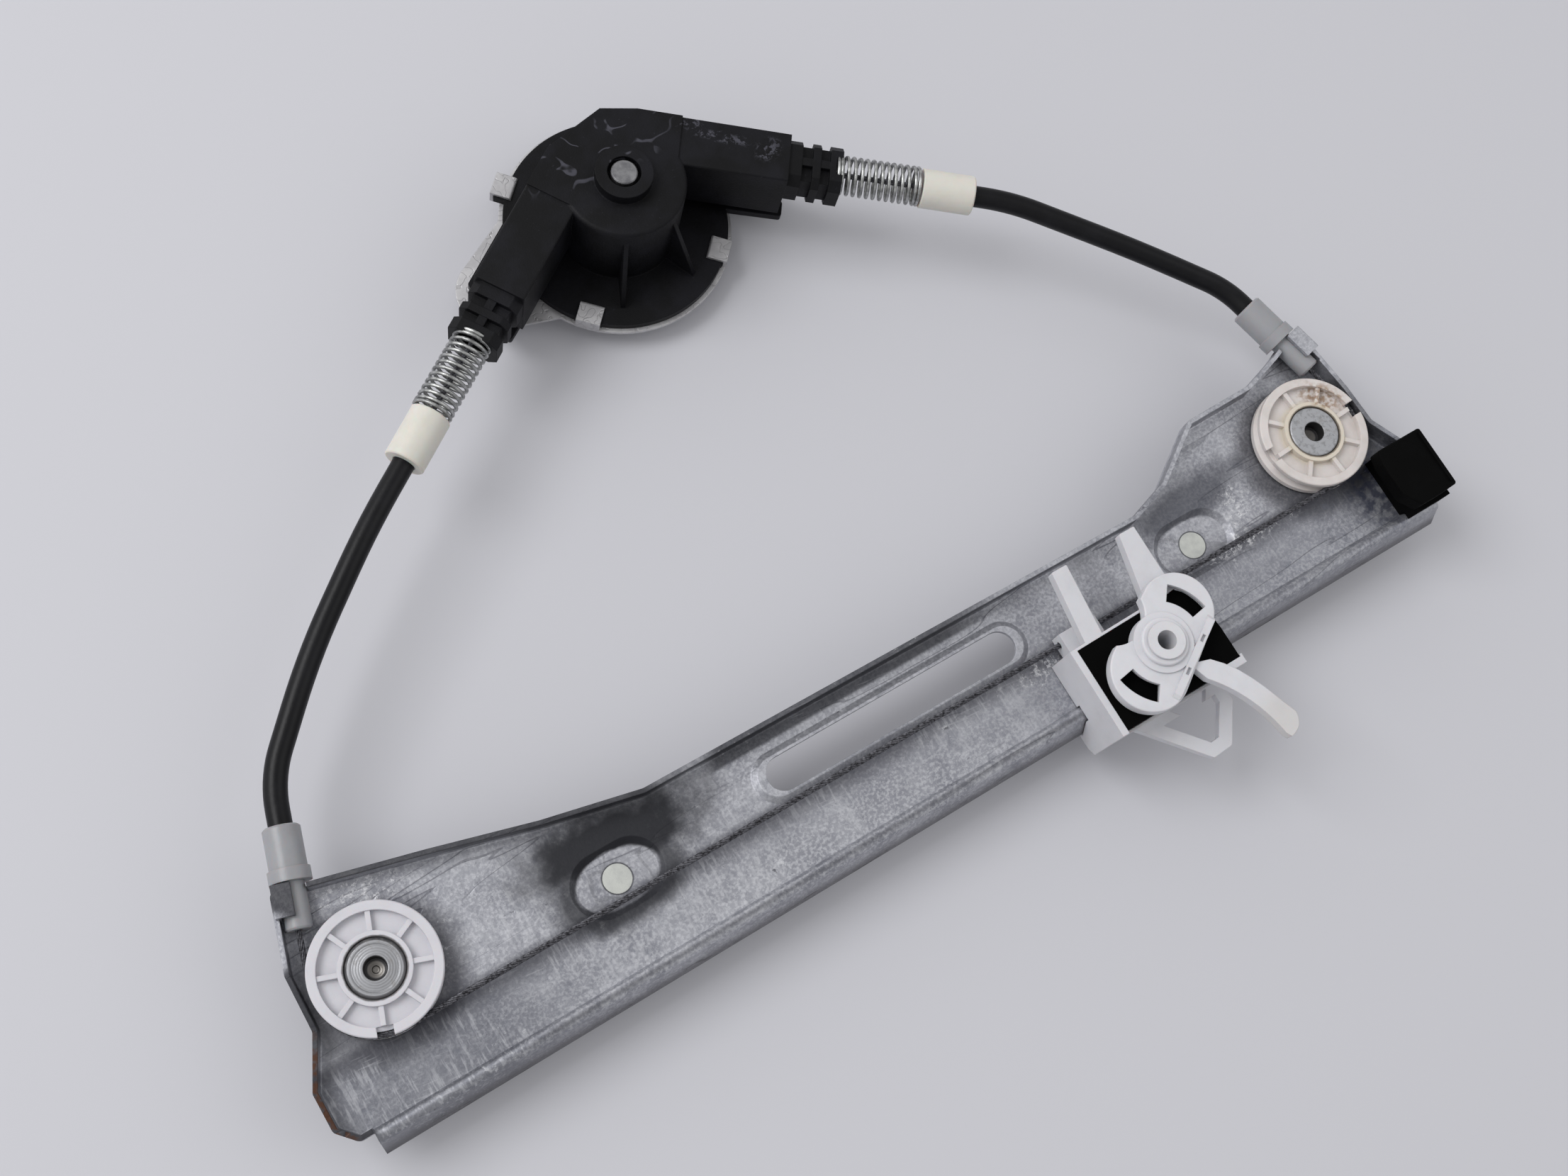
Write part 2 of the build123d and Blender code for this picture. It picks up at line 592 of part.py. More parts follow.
def drum_housing():
    """Moulded housing: drum chamber, roof, boss, arms, base flange and gussets."""
    wall = CHAMBER_R + CHAMBER_WALL
    tower = ring(wall, 0, BASE_BOTTOM, ARM_TOP + BOSS_T)
    tower = fillet(tower.faces().sort_by(Axis.Z)[-1].edges(), 1.6)
    base = ring(BASE_R, 0, BASE_BOTTOM, BASE_Z)
    lug_half = TAB_W / 2 + 0.6
    for angle, reach in TABS:
        base += Rot(0, 0, angle) * block((0, reach), (-lug_half, lug_half), (BASE_BOTTOM, BASE_Z))
    outer = [arm_corner(-1, ROOF_STEP, 1), arm_corner(-1, 2, 1), ROOF_PEAK]
    outer += [arm_corner(1, 2, 1), arm_corner(1, ROOF_STEP, 1)]
    inner = [arm_corner(1, ROOF_STEP, -1), arm_corner(-1, ROOF_STEP, -1)]
    roof = slab(polygon(outer + inner), ARM_TOP - ARM_DEPTH, ARM_TOP + BOSS_T)
    shell = tower + base + roof + arm(-1) + arm(1)
    shell += ring(BOSS_RING_R, 0, ARM_TOP, PIN_TOP)
    for angle in GUSSET_ANGLES:
        shell += gusset(angle)
    shell -= ring(CHAMBER_R, 0, BASE_BOTTOM - 1, CHAMBER_TOP)
    shell -= ring(PIN_R + RUN_FIT, 0, CHAMBER_TOP - 1, PIN_TOP + 1)
    shell -= ring(PIN_R + PIN_RECESS, 0, ARM_TOP + BOSS_T, PIN_TOP + 1)
    for side in (-1, 1):
        bore = Pos(0, 0, ARM_AXIS_Z) * Rot(0, 90, 0) * ring(CABLE_R + 0.8, 0, 0, MOUTH_X + 1)
        shell -= arm_frame(side) * bore
    shell -= Pos(*EAR_PLACE, 0) * ring(EAR_HOLE_R + 0.2, 0, BASE_BOTTOM - 1, BASE_Z + 1)
    return HOUSING_FRAME * shell


def drum_cover():
    """Pressed cover: plate, three tabs folded over the base flange, one ear."""
    low, high = COVER_BOTTOM, BASE_BOTTOM
    ear = make_hull((Pos(*EAR_PLACE) * Circle(EAR_R) + Pos(-20, 0) * Circle(EAR_R + 11)).edges())
    shape = slab(Circle(BASE_R + SHEET) + ear, low, high)
    width = (-TAB_W / 2, TAB_W / 2)
    for angle, lug in TABS:
        reach = lug + 0.2
        tab = block((BASE_R - 1, reach + COVER_T), width, (low, high))
        tab += block((reach, reach + COVER_T), width, (low, BASE_Z + 0.1 + COVER_T))
        fold = (reach + COVER_T - TAB_REACH, reach + 0.2)
        tab += block(fold, width, (BASE_Z + 0.1, BASE_Z + 0.1 + COVER_T))
        shape += Rot(0, 0, angle) * fillet(tab.edges().filter_by(Axis.Y).sort_by(Axis.Z)[-1:], 1.0)
    shape -= ring(SHAFT_R + RUN_FIT, 0, low - 1, high + 1)
    shape -= Pos(*EAR_PLACE, 0) * ring(EAR_HOLE_R, 0, low - 1, high + 1)
    return HOUSING_FRAME * shape


def cable_drum():
    """The grooved drum, its top groove level with the arms' cables."""
    pitch = DRUM_H / (DRUM_GROOVES + 0.5)
    floor = DRUM_WRAP_R - CABLE_R - CABLE_GAP
    top = ARM_AXIS_Z + 0.75 * pitch
    section = [(SHAFT_R + PRESS_FIT, top - DRUM_H), (SHAFT_R + PRESS_FIT, top), (DRUM_WRAP_R + 0.6, top)]
    for number in range(DRUM_GROOVES):
        centre = ARM_AXIS_Z - number * pitch
        section += [(DRUM_WRAP_R + 0.6, centre + pitch / 2 - 0.05), (floor, centre + CABLE_R / 2 + 0.1)]
        section += [(floor, centre - CABLE_R / 2 - 0.1), (DRUM_WRAP_R + 0.6, centre - pitch / 2 + 0.05)]
    section += [(DRUM_WRAP_R + 0.6, top - DRUM_H)]
    return HOUSING_FRAME * turned(section)


def drum_shaft():
    """Pin at the top, shank through drum and cover, spline for the crank."""
    section = [
        (0, SHAFT_END),
        (SPLINE_R - 1.4, SHAFT_END),
        (SPLINE_R - 0.9, SHAFT_END + 0.6),
        (SPLINE_R - 0.9, COVER_BOTTOM - 1.5),
        (SHAFT_R, COVER_BOTTOM - 1.0),
        (SHAFT_R, CHAMBER_TOP - STACK_GAP),
        (PIN_R, CHAMBER_TOP - STACK_GAP),
        (PIN_R, PIN_TOP - 0.4),
        (PIN_R - 0.4, PIN_TOP),
        (0, PIN_TOP),
    ]
    shaft = turned(section)
    tooth = block((SPLINE_R - 2, SPLINE_R), (-0.7, 0.7), (SHAFT_END + 0.6, COVER_BOTTOM - 1.2))
    for number in range(SPLINE_TEETH):
        shaft += Rot(0, 0, 360 / SPLINE_TEETH * number) * tooth
    return HOUSING_FRAME * shaft


def brake_cup():
    """The ring on the cover that the brake spring grips."""
    return HOUSING_FRAME * ring(BRAKE_CUP_R, BRAKE_CUP_R - BRAKE_WALL, BASE_BOTTOM, BASE_BOTTOM + BRAKE_H)


def brake_spring():
    """The wrap spring, coils closed, inside its cup."""
    outer = BRAKE_CUP_R - BRAKE_WALL - RUN_FIT
    return HOUSING_FRAME * ring(outer, outer - BRAKE_WIRE, BASE_BOTTOM, BASE_BOTTOM + BRAKE_H - 1)


def carrier_section():
    """Section of the carrier's foot, which hooks over bead and lip."""
    gap = SLIDE_GAP
    lip_gap = gap + 0.1
    return make_face(Polyline(
        (CARRIER_HEAD_Y, gap),
        (CARRIER_HEAD_Y, DECK_Z),
        (CARRIER_FOOT_Y, DECK_Z),
        (CARRIER_FOOT_Y, -LIP_DROP - HOOK_T + 1.0),
        (CARRIER_FOOT_Y + 3.0, -LIP_DROP - HOOK_T - 1.0),
        (LIP_Y + 1.6, -LIP_DROP - HOOK_T - 1.0),
        (LIP_Y + 1.6, -LIP_DROP - 1.0),
        (LIP_Y - lip_gap, -LIP_DROP - 1.0),
        (BEAD_OUT - lip_gap, 0.3),
        (BEAD_OUT - lip_gap, BEAD_R + gap),
        (BEAD_IN + gap, BEAD_R + gap),
        (BEAD_IN + gap, gap),
        close=True,
    ))


def finger(root, tip):
    """A flat finger of the carrier that reaches over the plate, level with its rim."""
    low = CARRIER_HEAD_Y - RIM_T
    face = polygon([(root[0], low), (root[1], low), (tip[1], FINGER_TIP_Y), (tip[0], FINGER_TIP_Y)], 0.5)
    return slab(face, CARRIER_TOP - FINGER_T, CARRIER_TOP)


def tray_face(inset):
    """The tray seen from above, its edge moved in by the inset."""
    left, right = CARRIER_LEFT, CARRIER_RIGHT - 1.2
    head, foot = CARRIER_HEAD_Y, CARRIER_FOOT_Y
    chin = CLAMP_PLACE[1] - 5
    outline = [(left, foot), (right, foot), (right, chin), (right - 1.5, head - 4), (right - 7.5, head + 1.6)]
    face = polygon(outline + [(right - 20, head + 0.6), (left, head)])
    return offset(face, -inset, kind=Kind.INTERSECTION) if inset else face


def carrier():
    """The slide: foot on the bead, cable shelf, tray for the pad, two fingers, loop."""
    length = CARRIER_RIGHT - CARRIER_LEFT
    body = extrude(Plane.YZ.offset(CARRIER_LEFT) * carrier_section(), length)
    body -= slab(offset(tray_face(0), 60) - tray_face(0), DECK_Z - 3, DECK_Z + 1)
    rim = slab(tray_face(0) - tray_face(RIM_T), DECK_Z - 1, CARRIER_TOP)
    foot, head = CARRIER_FOOT_Y, CARRIER_HEAD_Y
    rim -= block((CARRIER_RIGHT - 9, CARRIER_RIGHT + 1), (foot + 3.4, head + 3), (DECK_Z, CARRIER_TOP + 1))
    low_side = (CARRIER_LEFT + WALL_T, CARRIER_RIGHT - 8.5)
    rim -= block(low_side, (foot - 1, foot + 3), (DECK_Z + 2, CARRIER_TOP + 1))
    body += rim
    wall = (DECK_Z - 1, CARRIER_TOP)
    body += block((CARRIER_LEFT, CARRIER_LEFT + WALL_T), (foot, head), wall)
    body += block((CARRIER_RIGHT - 8.5, CARRIER_RIGHT - 1.2), (foot, foot + 2.6), wall)
    shelf = (SLOT_RIM_H + SLIDE_GAP, DECK_Z)
    body += block(CABLE_SHELF_X, (CARRIER_HEAD_Y - 1, CABLE_SHELF_Y), shelf)
    tray_room = slab(tray_face(RIM_T), DECK_Z, CARRIER_TOP + 1)
    for root, tip in (LEFT_FINGER, RIGHT_FINGER):
        body += finger(root, tip) - tray_room
    body += carrier_loop()
    cable = Pos(CARRIER_LEFT - 1, -CABLE_WRAP_R, CABLE_Z) * Rot(0, 90, 0)
    body -= cable * ring(CABLE_R + 0.4, 0, 0, length + 2)
    pocket = Rot(0, 90, 0) * ring(NIPPLE_R + RUN_FIT, 0, 0, NIPPLE_LENGTH)
    for x in NIPPLE_X:
        body -= Pos(x, -CABLE_WRAP_R, CABLE_Z) * pocket
    body -= Pos(*CLAMP_PLACE, 0) * ring(BUSH_R + PRESS_FIT, 0, BEAD_R + 1.5, DECK_Z + 1)
    return body


def carrier_loop():
    """The open loop below the carrier's foot, which catches the glass seal."""
    foot = CARRIER_FOOT_Y + 1
    left, right = CARRIER_LEFT + 9.4, CARRIER_RIGHT - 6.6
    tip = CARRIER_FOOT_Y - 20.9
    outer = [(left, foot), (left + 19, tip), (left + 26.8, tip + 0.5), (right, tip + 13), (right, foot)]
    outline = polygon(outer, 0.8)
    opening = offset(polygon(outer), -LOOP_BAR, kind=Kind.INTERSECTION)
    opening += Pos(0, 2 * LOOP_BAR - 1) * opening
    opening &= Pos((left + right) / 2, foot - 21.5) * Rectangle(60, 40)
    low = LOOP_TOP - LOOP_T
    return slab(outline, low, LOOP_TOP) - slab(opening, low - 1, LOOP_TOP + 1)


def nipple(x):
    """A crimped cable end in its pocket in the carrier."""
    sleeve = ring(NIPPLE_R, CABLE_R + CABLE_GAP, 0, NIPPLE_LENGTH)
    return Pos(x, -CABLE_WRAP_R, CABLE_Z) * Rot(0, 90, 0) * sleeve


def carrier_pad():
    """The black pad that the clamp presses the glass against."""
    gap = 0.2
    face = tray_face(RIM_T + gap)
    face &= Pos(CARRIER_LEFT + WALL_T + gap + 50, -40) * Rectangle(100, 60)
    pad = slab(face, DECK_Z, CARRIER_TOP - 0.1)
    corner = (CARRIER_RIGHT - 8.5 - gap, CARRIER_RIGHT)
    pad -= block(corner, (CARRIER_FOOT_Y, CARRIER_FOOT_Y + 2.6 + gap), (0, CARRIER_TOP))
    return pad - Pos(*CLAMP_PLACE, 0) * ring(BUSH_R + 0.3, 0, 0, CARRIER_TOP + 1)


def clamp_slot():
    """One curved slot of the clamp, an arc of a ring with square ends."""
    inner, outer = CLAMP_SLOT_R - CLAMP_SLOT_W / 2, CLAMP_SLOT_R + CLAMP_SLOT_W / 2
    half = CLAMP_SLOT_SWEEP / 2
    face = make_face(Curve() + [
        CenterArc((0, 0), outer, -half, 2 * half),
        Line(on_circle(outer, half), on_circle(inner, half)),
        CenterArc((0, 0), inner, -half, 2 * half),
        Line(on_circle(inner, -half), on_circle(outer, -half)),
    ])
    return fillet(face.vertices(), 0.6)


def clamp_lever():
    """The sickle-shaped lever, thinner towards its drooping tip."""
    edge = [
        ThreePointArc(*LEVER_OUTER),
        ThreePointArc(LEVER_OUTER[-1], *LEVER_TIP),
        Line(LEVER_TIP[-1], LEVER_INNER[0]),
        ThreePointArc(*LEVER_INNER),
        Line(LEVER_INNER[-1], LEVER_ROOT),
        Line(LEVER_ROOT, LEVER_OUTER[0]),
    ]
    return slab(make_face(Curve() + edge), 0, CLAMP_T - 0.6)


def glass_clamp():
    """Two-lobed clamp with curved slots, a raised edge, a hub and a lever."""
    (near_r, near_at), (far_r, far_at) = CLAMP_LOBES
    lobes = Pos(near_at, 0) * Circle(near_r) + Pos(-far_at, 0) * Circle(far_r)
    face = make_hull(lobes.edges()) - Pos(*CLAMP_BITE) * Circle(CLAMP_BITE_R)
    slots = Sketch()
    for half_turn in (0, 1):
        slots += Rot(0, 0, CLAMP_SLOT_TURN + 180 * half_turn) * clamp_slot()
    plate = slab(face, 0, CLAMP_T)
    plate = fillet(plate.faces().sort_by(Axis.Z)[-1].edges(), 0.5)
    plate += ring(CLAMP_HUB_R + 2.2, 0, 0, CLAMP_T + 0.8)
    rib = block((-15, 16), (-12.2, -9.6), (CLAMP_T - 1, CLAMP_T + 1.2))
    rib = chamfer(rib.edges().filter_by(Axis.Y).sort_by(Axis.Z)[-2:], 1.1)
    for x in (-5.0, 7.5):
        rib -= block((x - 1.3, x + 1.3), (-11.4, -10.4), (0, CLAMP_T + 2))
    shape = Rot(0, 0, CLAMP_AXIS) * (plate - slab(slots, -1, CLAMP_T + 1) + rib)
    shape += clamp_lever()
    hub = ring(CLAMP_HUB_R, 0, 0, CLAMP_T + CLAMP_HUB_H)
    shape += fillet(hub.faces().sort_by(Axis.Z)[-1].edges(), 0.8)
    shape -= ring(BUSH_R + RUN_FIT, 0, -1, CLAMP_T + CLAMP_HUB_H + 1)
    return Pos(*CLAMP_PLACE, CLAMP_Z) * shape


def clamp_bush():
    """The bush that the glass is screwed to and that the clamp turns on."""
    flange = CLAMP_Z + CLAMP_T + CLAMP_HUB_H + STACK_GAP
    low = BEAD_R + 1.5
    body = ring(BUSH_R, 0, low, flange) + ring(BUSH_FLANGE_R, 0, flange, flange + BUSH_FLANGE_T)
    body -= ring(BUSH_BORE_R, 0, low - 1, flange + BUSH_FLANGE_T + 1)
    return Pos(*CLAMP_PLACE, 0) * body


def end_stop():
    """Rubber stop clipped on the rail's end, its head overhanging its neck."""
    gap = 0.1
    foot, head_y = STOP_FOOT_Y, STOP_HEAD_Y
    head = slab(polygon([
        (STOP_LEFT + 1.2, head_y),
        (STOP_RIGHT, head_y),
        (STOP_RIGHT, foot + 0.4),
        (STOP_RIGHT - 7, foot),
        (STOP_LEFT + 4, foot),
        (STOP_LEFT, foot + 6),
        (STOP_LEFT, head_y - 5),
    ], 1.0), STOP_TOP - STOP_HEAD_T, STOP_TOP)
    head = fillet(head.faces().sort_by(Axis.Z)[-1].edges(), 0.8)
    ridge = (STOP_RIGHT - 2.2, STOP_RIGHT - 0.8)
    head += block(ridge, (foot + 2, head_y - 1.5), (STOP_TOP - 1, STOP_TOP + 0.6))
    left = STOP_LEFT + STOP_OVERHANG
    neck_z = (BEAD_R + 0.8, STOP_TOP - STOP_HEAD_T + 1)
    neck = block((left, STOP_RIGHT - 1.5), (foot - 1.4, head_y - 0.5), neck_z)
    clip = block((left, STOP_RIGHT), (BEAD_IN + gap, head_y - 0.5), (-SHEET - 2.5, BEAD_R + 1))
    slit = block((STOP_LEFT, RAIL_RIGHT + 0.7 + gap), (BEAD_IN - 3, head_y + 1), (-SHEET, 0))
    pulley_room = Pos(PULLEY_SPAN, 0, 0) * ring(PULLEY_R + 2 * STACK_GAP, 0, -9, STOP_TOP + 2)
    return head + neck + clip - slit - pulley_room


def save(name, shape):
    """Write one piece under its name."""
    shape.label = name
    export_step(shape, "parts/" + name + ".step")


def main():
    os.makedirs("parts", exist_ok=True)
    save("rail", RAIL_FRAME * rail())
    save("left_stud", stud(-1))
    save("right_stud", stud(1))
    save("left_pulley", RAIL_FRAME * pulley(0, 25.4, (-108.7,)))
    save("right_pulley", RAIL_FRAME * pulley(PULLEY_SPAN, 3.7, (1.5, 180)))
    save("left_pulley_rivet", RAIL_FRAME * pulley_rivet(0))
    save("right_pulley_rivet", RAIL_FRAME * pulley_rivet(PULLEY_SPAN))
    save("left_socket", RAIL_FRAME * socket(LEFT_LEAD))
    save("right_socket", RAIL_FRAME * socket(RIGHT_LEAD))
    save("left_conduit", RAIL_FRAME * conduit(LEFT_LEAD, -1, LEFT_BEND))
    save("right_conduit", RAIL_FRAME * conduit(RIGHT_LEAD, 1, RIGHT_BEND))
    save("left_ferrule", RAIL_FRAME * ferrule(-1))
    save("right_ferrule", RAIL_FRAME * ferrule(1))
    save("left_spring", RAIL_FRAME * take_up_spring(-1))
    save("right_spring", RAIL_FRAME * take_up_spring(1))
    save("left_drum_cable", RAIL_FRAME * drum_cable(-1))
    save("right_drum_cable", RAIL_FRAME * drum_cable(1))
    save("wire_cable", RAIL_FRAME * wire_cable())
    save("drum_housing", drum_housing())
    save("drum_cover", drum_cover())
    save("cable_drum", cable_drum())
    save("drum_shaft", drum_shaft())
    save("brake_cup", brake_cup())
    save("brake_spring", brake_spring())
    save("carrier", RAIL_FRAME * carrier())
    save("carrier_pad", RAIL_FRAME * carrier_pad())
    save("left_nipple", RAIL_FRAME * nipple(NIPPLE_X[0]))
    save("right_nipple", RAIL_FRAME * nipple(NIPPLE_X[1]))
    save("glass_clamp", RAIL_FRAME * glass_clamp())
    save("clamp_bush", RAIL_FRAME * clamp_bush())
    save("end_stop", RAIL_FRAME * end_stop())


main()
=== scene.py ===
# %% [markdown]
# A window regulator hides inside a car door: a pressed steel rail, two pulleys,
# a plastic carrier that holds the glass, and a cable drum that pulls it. The
# construction model already holds every piece at its real size. This lesson
# gives the pieces their finish: it loads the model, copies each piece with
# smooth shading, winds the springs and the wire rope, and builds each material
# from nodes. All lengths are in metres, in the model's own frame.

# %% Load the construction model
import json
from math import cos, pi, radians, sin

import bmesh
import bpy
from mathutils import Matrix, Vector


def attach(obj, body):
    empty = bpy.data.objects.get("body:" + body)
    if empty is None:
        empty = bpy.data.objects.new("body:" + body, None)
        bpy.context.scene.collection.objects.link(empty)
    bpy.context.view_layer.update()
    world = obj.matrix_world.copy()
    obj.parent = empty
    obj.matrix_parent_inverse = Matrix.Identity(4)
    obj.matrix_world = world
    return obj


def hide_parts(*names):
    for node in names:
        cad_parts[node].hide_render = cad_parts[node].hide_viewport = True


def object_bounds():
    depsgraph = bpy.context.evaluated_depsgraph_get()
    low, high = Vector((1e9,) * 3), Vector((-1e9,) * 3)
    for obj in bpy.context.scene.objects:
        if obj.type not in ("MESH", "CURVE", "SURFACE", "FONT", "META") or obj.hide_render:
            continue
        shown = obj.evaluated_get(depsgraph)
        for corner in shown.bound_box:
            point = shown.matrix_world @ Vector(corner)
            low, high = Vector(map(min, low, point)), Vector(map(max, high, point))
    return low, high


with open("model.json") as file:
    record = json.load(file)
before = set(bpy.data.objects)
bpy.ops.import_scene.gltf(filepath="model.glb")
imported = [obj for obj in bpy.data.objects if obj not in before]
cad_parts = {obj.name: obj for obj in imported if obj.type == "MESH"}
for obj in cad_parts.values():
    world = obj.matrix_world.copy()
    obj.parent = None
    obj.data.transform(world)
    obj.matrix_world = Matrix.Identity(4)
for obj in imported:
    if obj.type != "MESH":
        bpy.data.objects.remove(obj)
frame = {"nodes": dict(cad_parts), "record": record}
MODEL_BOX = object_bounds()
MM = 0.001
BODY_OF = {node: body for body, nodes in frame["record"]["behaviour"]["bodies"].items() for node in nodes}
SLOT_OF = {entry["node"]: entry["material_slot"] for entry in frame["record"]["subparts"]}

# %% [markdown]
# The camera stands where the photographer's did. Its place and direction were
# worked out from the round pulleys and the straight rail, so the rendered
# rail, cable and housing fall on those of the photograph. A camera looks down
# its own -Z axis, so its matrix has the picture's right, its up and the
# backward direction as columns.

# %% Camera
LENS = 42.32
EYE = Vector((-0.19045, -0.04706, 0.57234))
LOOK = Vector((0.28330, 0.16880, -0.94406)).normalized()
RIGHT = Vector((0.84227, -0.51453, 0.16075)).normalized()


def place_camera():
    """A camera at the photograph's place, turned as the photographer held it."""
    data = bpy.data.cameras.new("camera")
    data.lens = LENS
    camera = bpy.data.objects.new("camera", data)
    bpy.context.scene.collection.objects.link(camera)
    up = RIGHT.cross(LOOK)
    turn = Matrix((RIGHT, up, -LOOK)).transposed()
    camera.matrix_world = Matrix.Translation(EYE) @ turn.to_4x4()
    bpy.context.scene.camera = camera
    return camera


camera = place_camera()
print("camera", round((EYE - Vector((0, 0.05, 0))).length, 3), "m from the part")

# %% [markdown]
# A maths node works on one number at a time. Writing shader maths as chains of
# nodes is hard to read, so a small class wraps a socket and lets Python's own
# operators add the nodes: `1 - mask * 0.5` becomes two Math nodes.

# %% Arithmetic on sockets
class Signal:
    """A number that varies over a surface. Arithmetic on it adds Math nodes."""

    def __init__(self, finish, socket):
        self.finish = finish
        self.socket = socket

    def math(self, operation, *others):
        inputs = {0: self}
        for index, other in enumerate(others):
            inputs[index + 1] = other
        node = self.finish.add("ShaderNodeMath", {"operation": operation}, inputs)
        return Signal(self.finish, node.outputs[0])

    def flipped(self, operation, other):
        node = self.finish.add("ShaderNodeMath", {"operation": operation}, {0: other, 1: self})
        return Signal(self.finish, node.outputs[0])

    def __add__(self, other):
        return self.math("ADD", other)

    def __radd__(self, other):
        return self.flipped("ADD", other)

    def __sub__(self, other):
        return self.math("SUBTRACT", other)

    def __rsub__(self, other):
        return self.flipped("SUBTRACT", other)

    def __mul__(self, other):
        return self.math("MULTIPLY", other)

    def __rmul__(self, other):
        return self.flipped("MULTIPLY", other)

    def __truediv__(self, other):
        return self.math("DIVIDE", other)

    def __pow__(self, other):
        return self.math("POWER", other)

    def __neg__(self):
        return self.math("MULTIPLY", -1.0)

    def larger(self, other):
        return self.math("MAXIMUM", other)

    def smaller(self, other):
        return self.math("MINIMUM", other)

    def step(self, low, high):
        """0 below low, 1 above high, with a smooth change between."""
        node = self.finish.add(
            "ShaderNodeMapRange",
            {"interpolation_type": "SMOOTHSTEP"},
            {"Value": self, "From Min": low, "From Max": high},
        )
        return Signal(self.finish, node.outputs[0])


print("signals know", ", ".join(name for name in ("+", "-", "*", "/", "**")))

# %% [markdown]
# Each finish is one Principled shader. A maker class holds its node tree, and
# its helpers give the things that every finish here needs: the place on the
# piece, noise, a spot round a place, a mix of two colours, and bumps whose
# edges are softened as a moulded or pressed edge is.

# %% Finish maker
class Finish:
    """A material under construction: its node tree and its Principled shader."""

    def __init__(self, name, roughness=0.5, metallic=0.0, **constants):
        self.material = bpy.data.materials.new(name)
        self.material.use_nodes = True
        self.tree = self.material.node_tree
        self.tree.nodes.clear()
        out = self.add("ShaderNodeOutputMaterial")
        self.shader = self.add("ShaderNodeBsdfPrincipled")
        self.tree.links.new(self.shader.outputs[0], out.inputs[0])
        self.shader.inputs["Roughness"].default_value = roughness
        self.shader.inputs["Metallic"].default_value = metallic
        for socket, value in constants.items():
            self.shader.inputs[socket.replace("_", " ")].default_value = value
        self.place = self.add("ShaderNodeTexCoord").outputs["Object"]

    def add(self, kind, settings=None, inputs=None):
        """A node with its settings made first, then its values and links."""
        node = self.tree.nodes.new(kind)
        for name, value in (settings or {}).items():
            if name == "stops":
                self.colour_stops(node.color_ramp, value)
            else:
                setattr(node, name, value)
        for name, value in (inputs or {}).items():
            if isinstance(value, Signal):
                self.tree.links.new(value.socket, node.inputs[name])
            elif isinstance(value, bpy.types.NodeSocket):
                self.tree.links.new(value, node.inputs[name])
            else:
                node.inputs[name].default_value = value
        return node

    def noise(self, size, detail=3.0, roughness=0.5, place=None):
        """Cloudy noise from 0 to 1, whose clouds are about size metres across."""
        node = self.add(
            "ShaderNodeTexNoise",
            None,
            {"Vector": place or self.place, "Scale": 1 / size, "Detail": detail, "Roughness": roughness},
        )
        return Signal(self, node.outputs["Fac"])

    def cells(self, size, feature="F1", output="Distance"):
        """Voronoi cells about size metres across."""
        node = self.add("ShaderNodeTexVoronoi", {"feature": feature}, {"Vector": self.place, "Scale": 1 / size})
        return Signal(self, node.outputs[output])

    def stretched(self, x, y, z, turn=0.0, centre=(0, 0, 0)):
        """The place on the piece, moved, turned about Z, then scaled along each axis."""
        moved = self.add("ShaderNodeVectorMath", {"operation": "SUBTRACT"}, {0: self.place, 1: centre})
        turned = self.add("ShaderNodeVectorRotate", {"rotation_type": "Z_AXIS"}, {"Vector": moved.outputs[0], "Angle": -turn})
        scaled = self.add("ShaderNodeVectorMath", {"operation": "MULTIPLY"}, {0: turned.outputs[0], 1: (x, y, z)})
        return scaled.outputs[0]

    def axis(self, name):
        """One coordinate of the place on the piece."""
        node = self.add("ShaderNodeSeparateXYZ", None, {0: self.place})
        return Signal(self, node.outputs[name])

    def spot(self, centre, half_x, half_y, turn=0.0, ragged=0.35, grain=0.004, edge=0.3):
        """1 inside an oval round a place, fading out with a ragged edge."""
        scaled = self.stretched(1 / half_x, 1 / half_y, 0, turn, centre)
        length = self.add("ShaderNodeVectorMath", {"operation": "LENGTH"}, {0: scaled})
        far = Signal(self, length.outputs["Value"])
        far = far + (self.noise(grain, 4) - 0.5) * ragged * 2
        return 1 - far.step(1 - edge, 1 + edge)

    def rings(self, centre, width):
        """Soft rings round a vertical axis, each about width metres broad."""
        flat = self.add("ShaderNodeVectorMath", {"operation": "LENGTH"}, {0: self.stretched(1, 1, 0, 0, centre)})
        far = Signal(self, flat.outputs["Value"]) + (self.noise(0.003, 2) - 0.5) * 0.0004
        return (far * (pi / width)).math("SINE") * 0.5 + 0.5

    def mix(self, factor, first, second):
        """Two colours, or colour sockets, blended by a factor."""
        inputs = {0: factor, 6: self.colour(first), 7: self.colour(second)}
        return self.add("ShaderNodeMix", {"data_type": "RGBA"}, inputs).outputs[2]

    @staticmethod
    def colour(value):
        if isinstance(value, tuple):
            return (*value[:3], 1.0)
        return value

    @staticmethod
    def colour_stops(ramp, stops):
        for index, (position, colour) in enumerate(stops):
            element = ramp.elements[index] if index < 2 else ramp.elements.new(position)
            element.position = position
            element.color = (*colour[:3], 1.0)

    def paint(self, colour):
        """Set the colour to a value or link."""
        if isinstance(colour, tuple):
            self.shader.inputs["Base Color"].default_value = self.colour(colour)
        else:
            self.tree.links.new(colour, self.shader.inputs["Base Color"])

    def link(self, socket, signal):
        self.tree.links.new(signal.socket, self.shader.inputs[socket])

    def relief(self, height, depth, soften=0.0):
        """Bump of the given depth in metres, over edges softened by a radius."""
        inputs = {"Strength": 1.0, "Distance": depth, "Height": height}
        if soften:
            inputs["Normal"] = self.add("ShaderNodeBevel", {"samples": 4}, {"Radius": soften}).outputs[0]
        bump = self.add("ShaderNodeBump", None, inputs)
        self.tree.links.new(bump.outputs[0], self.shader.inputs["Normal"])


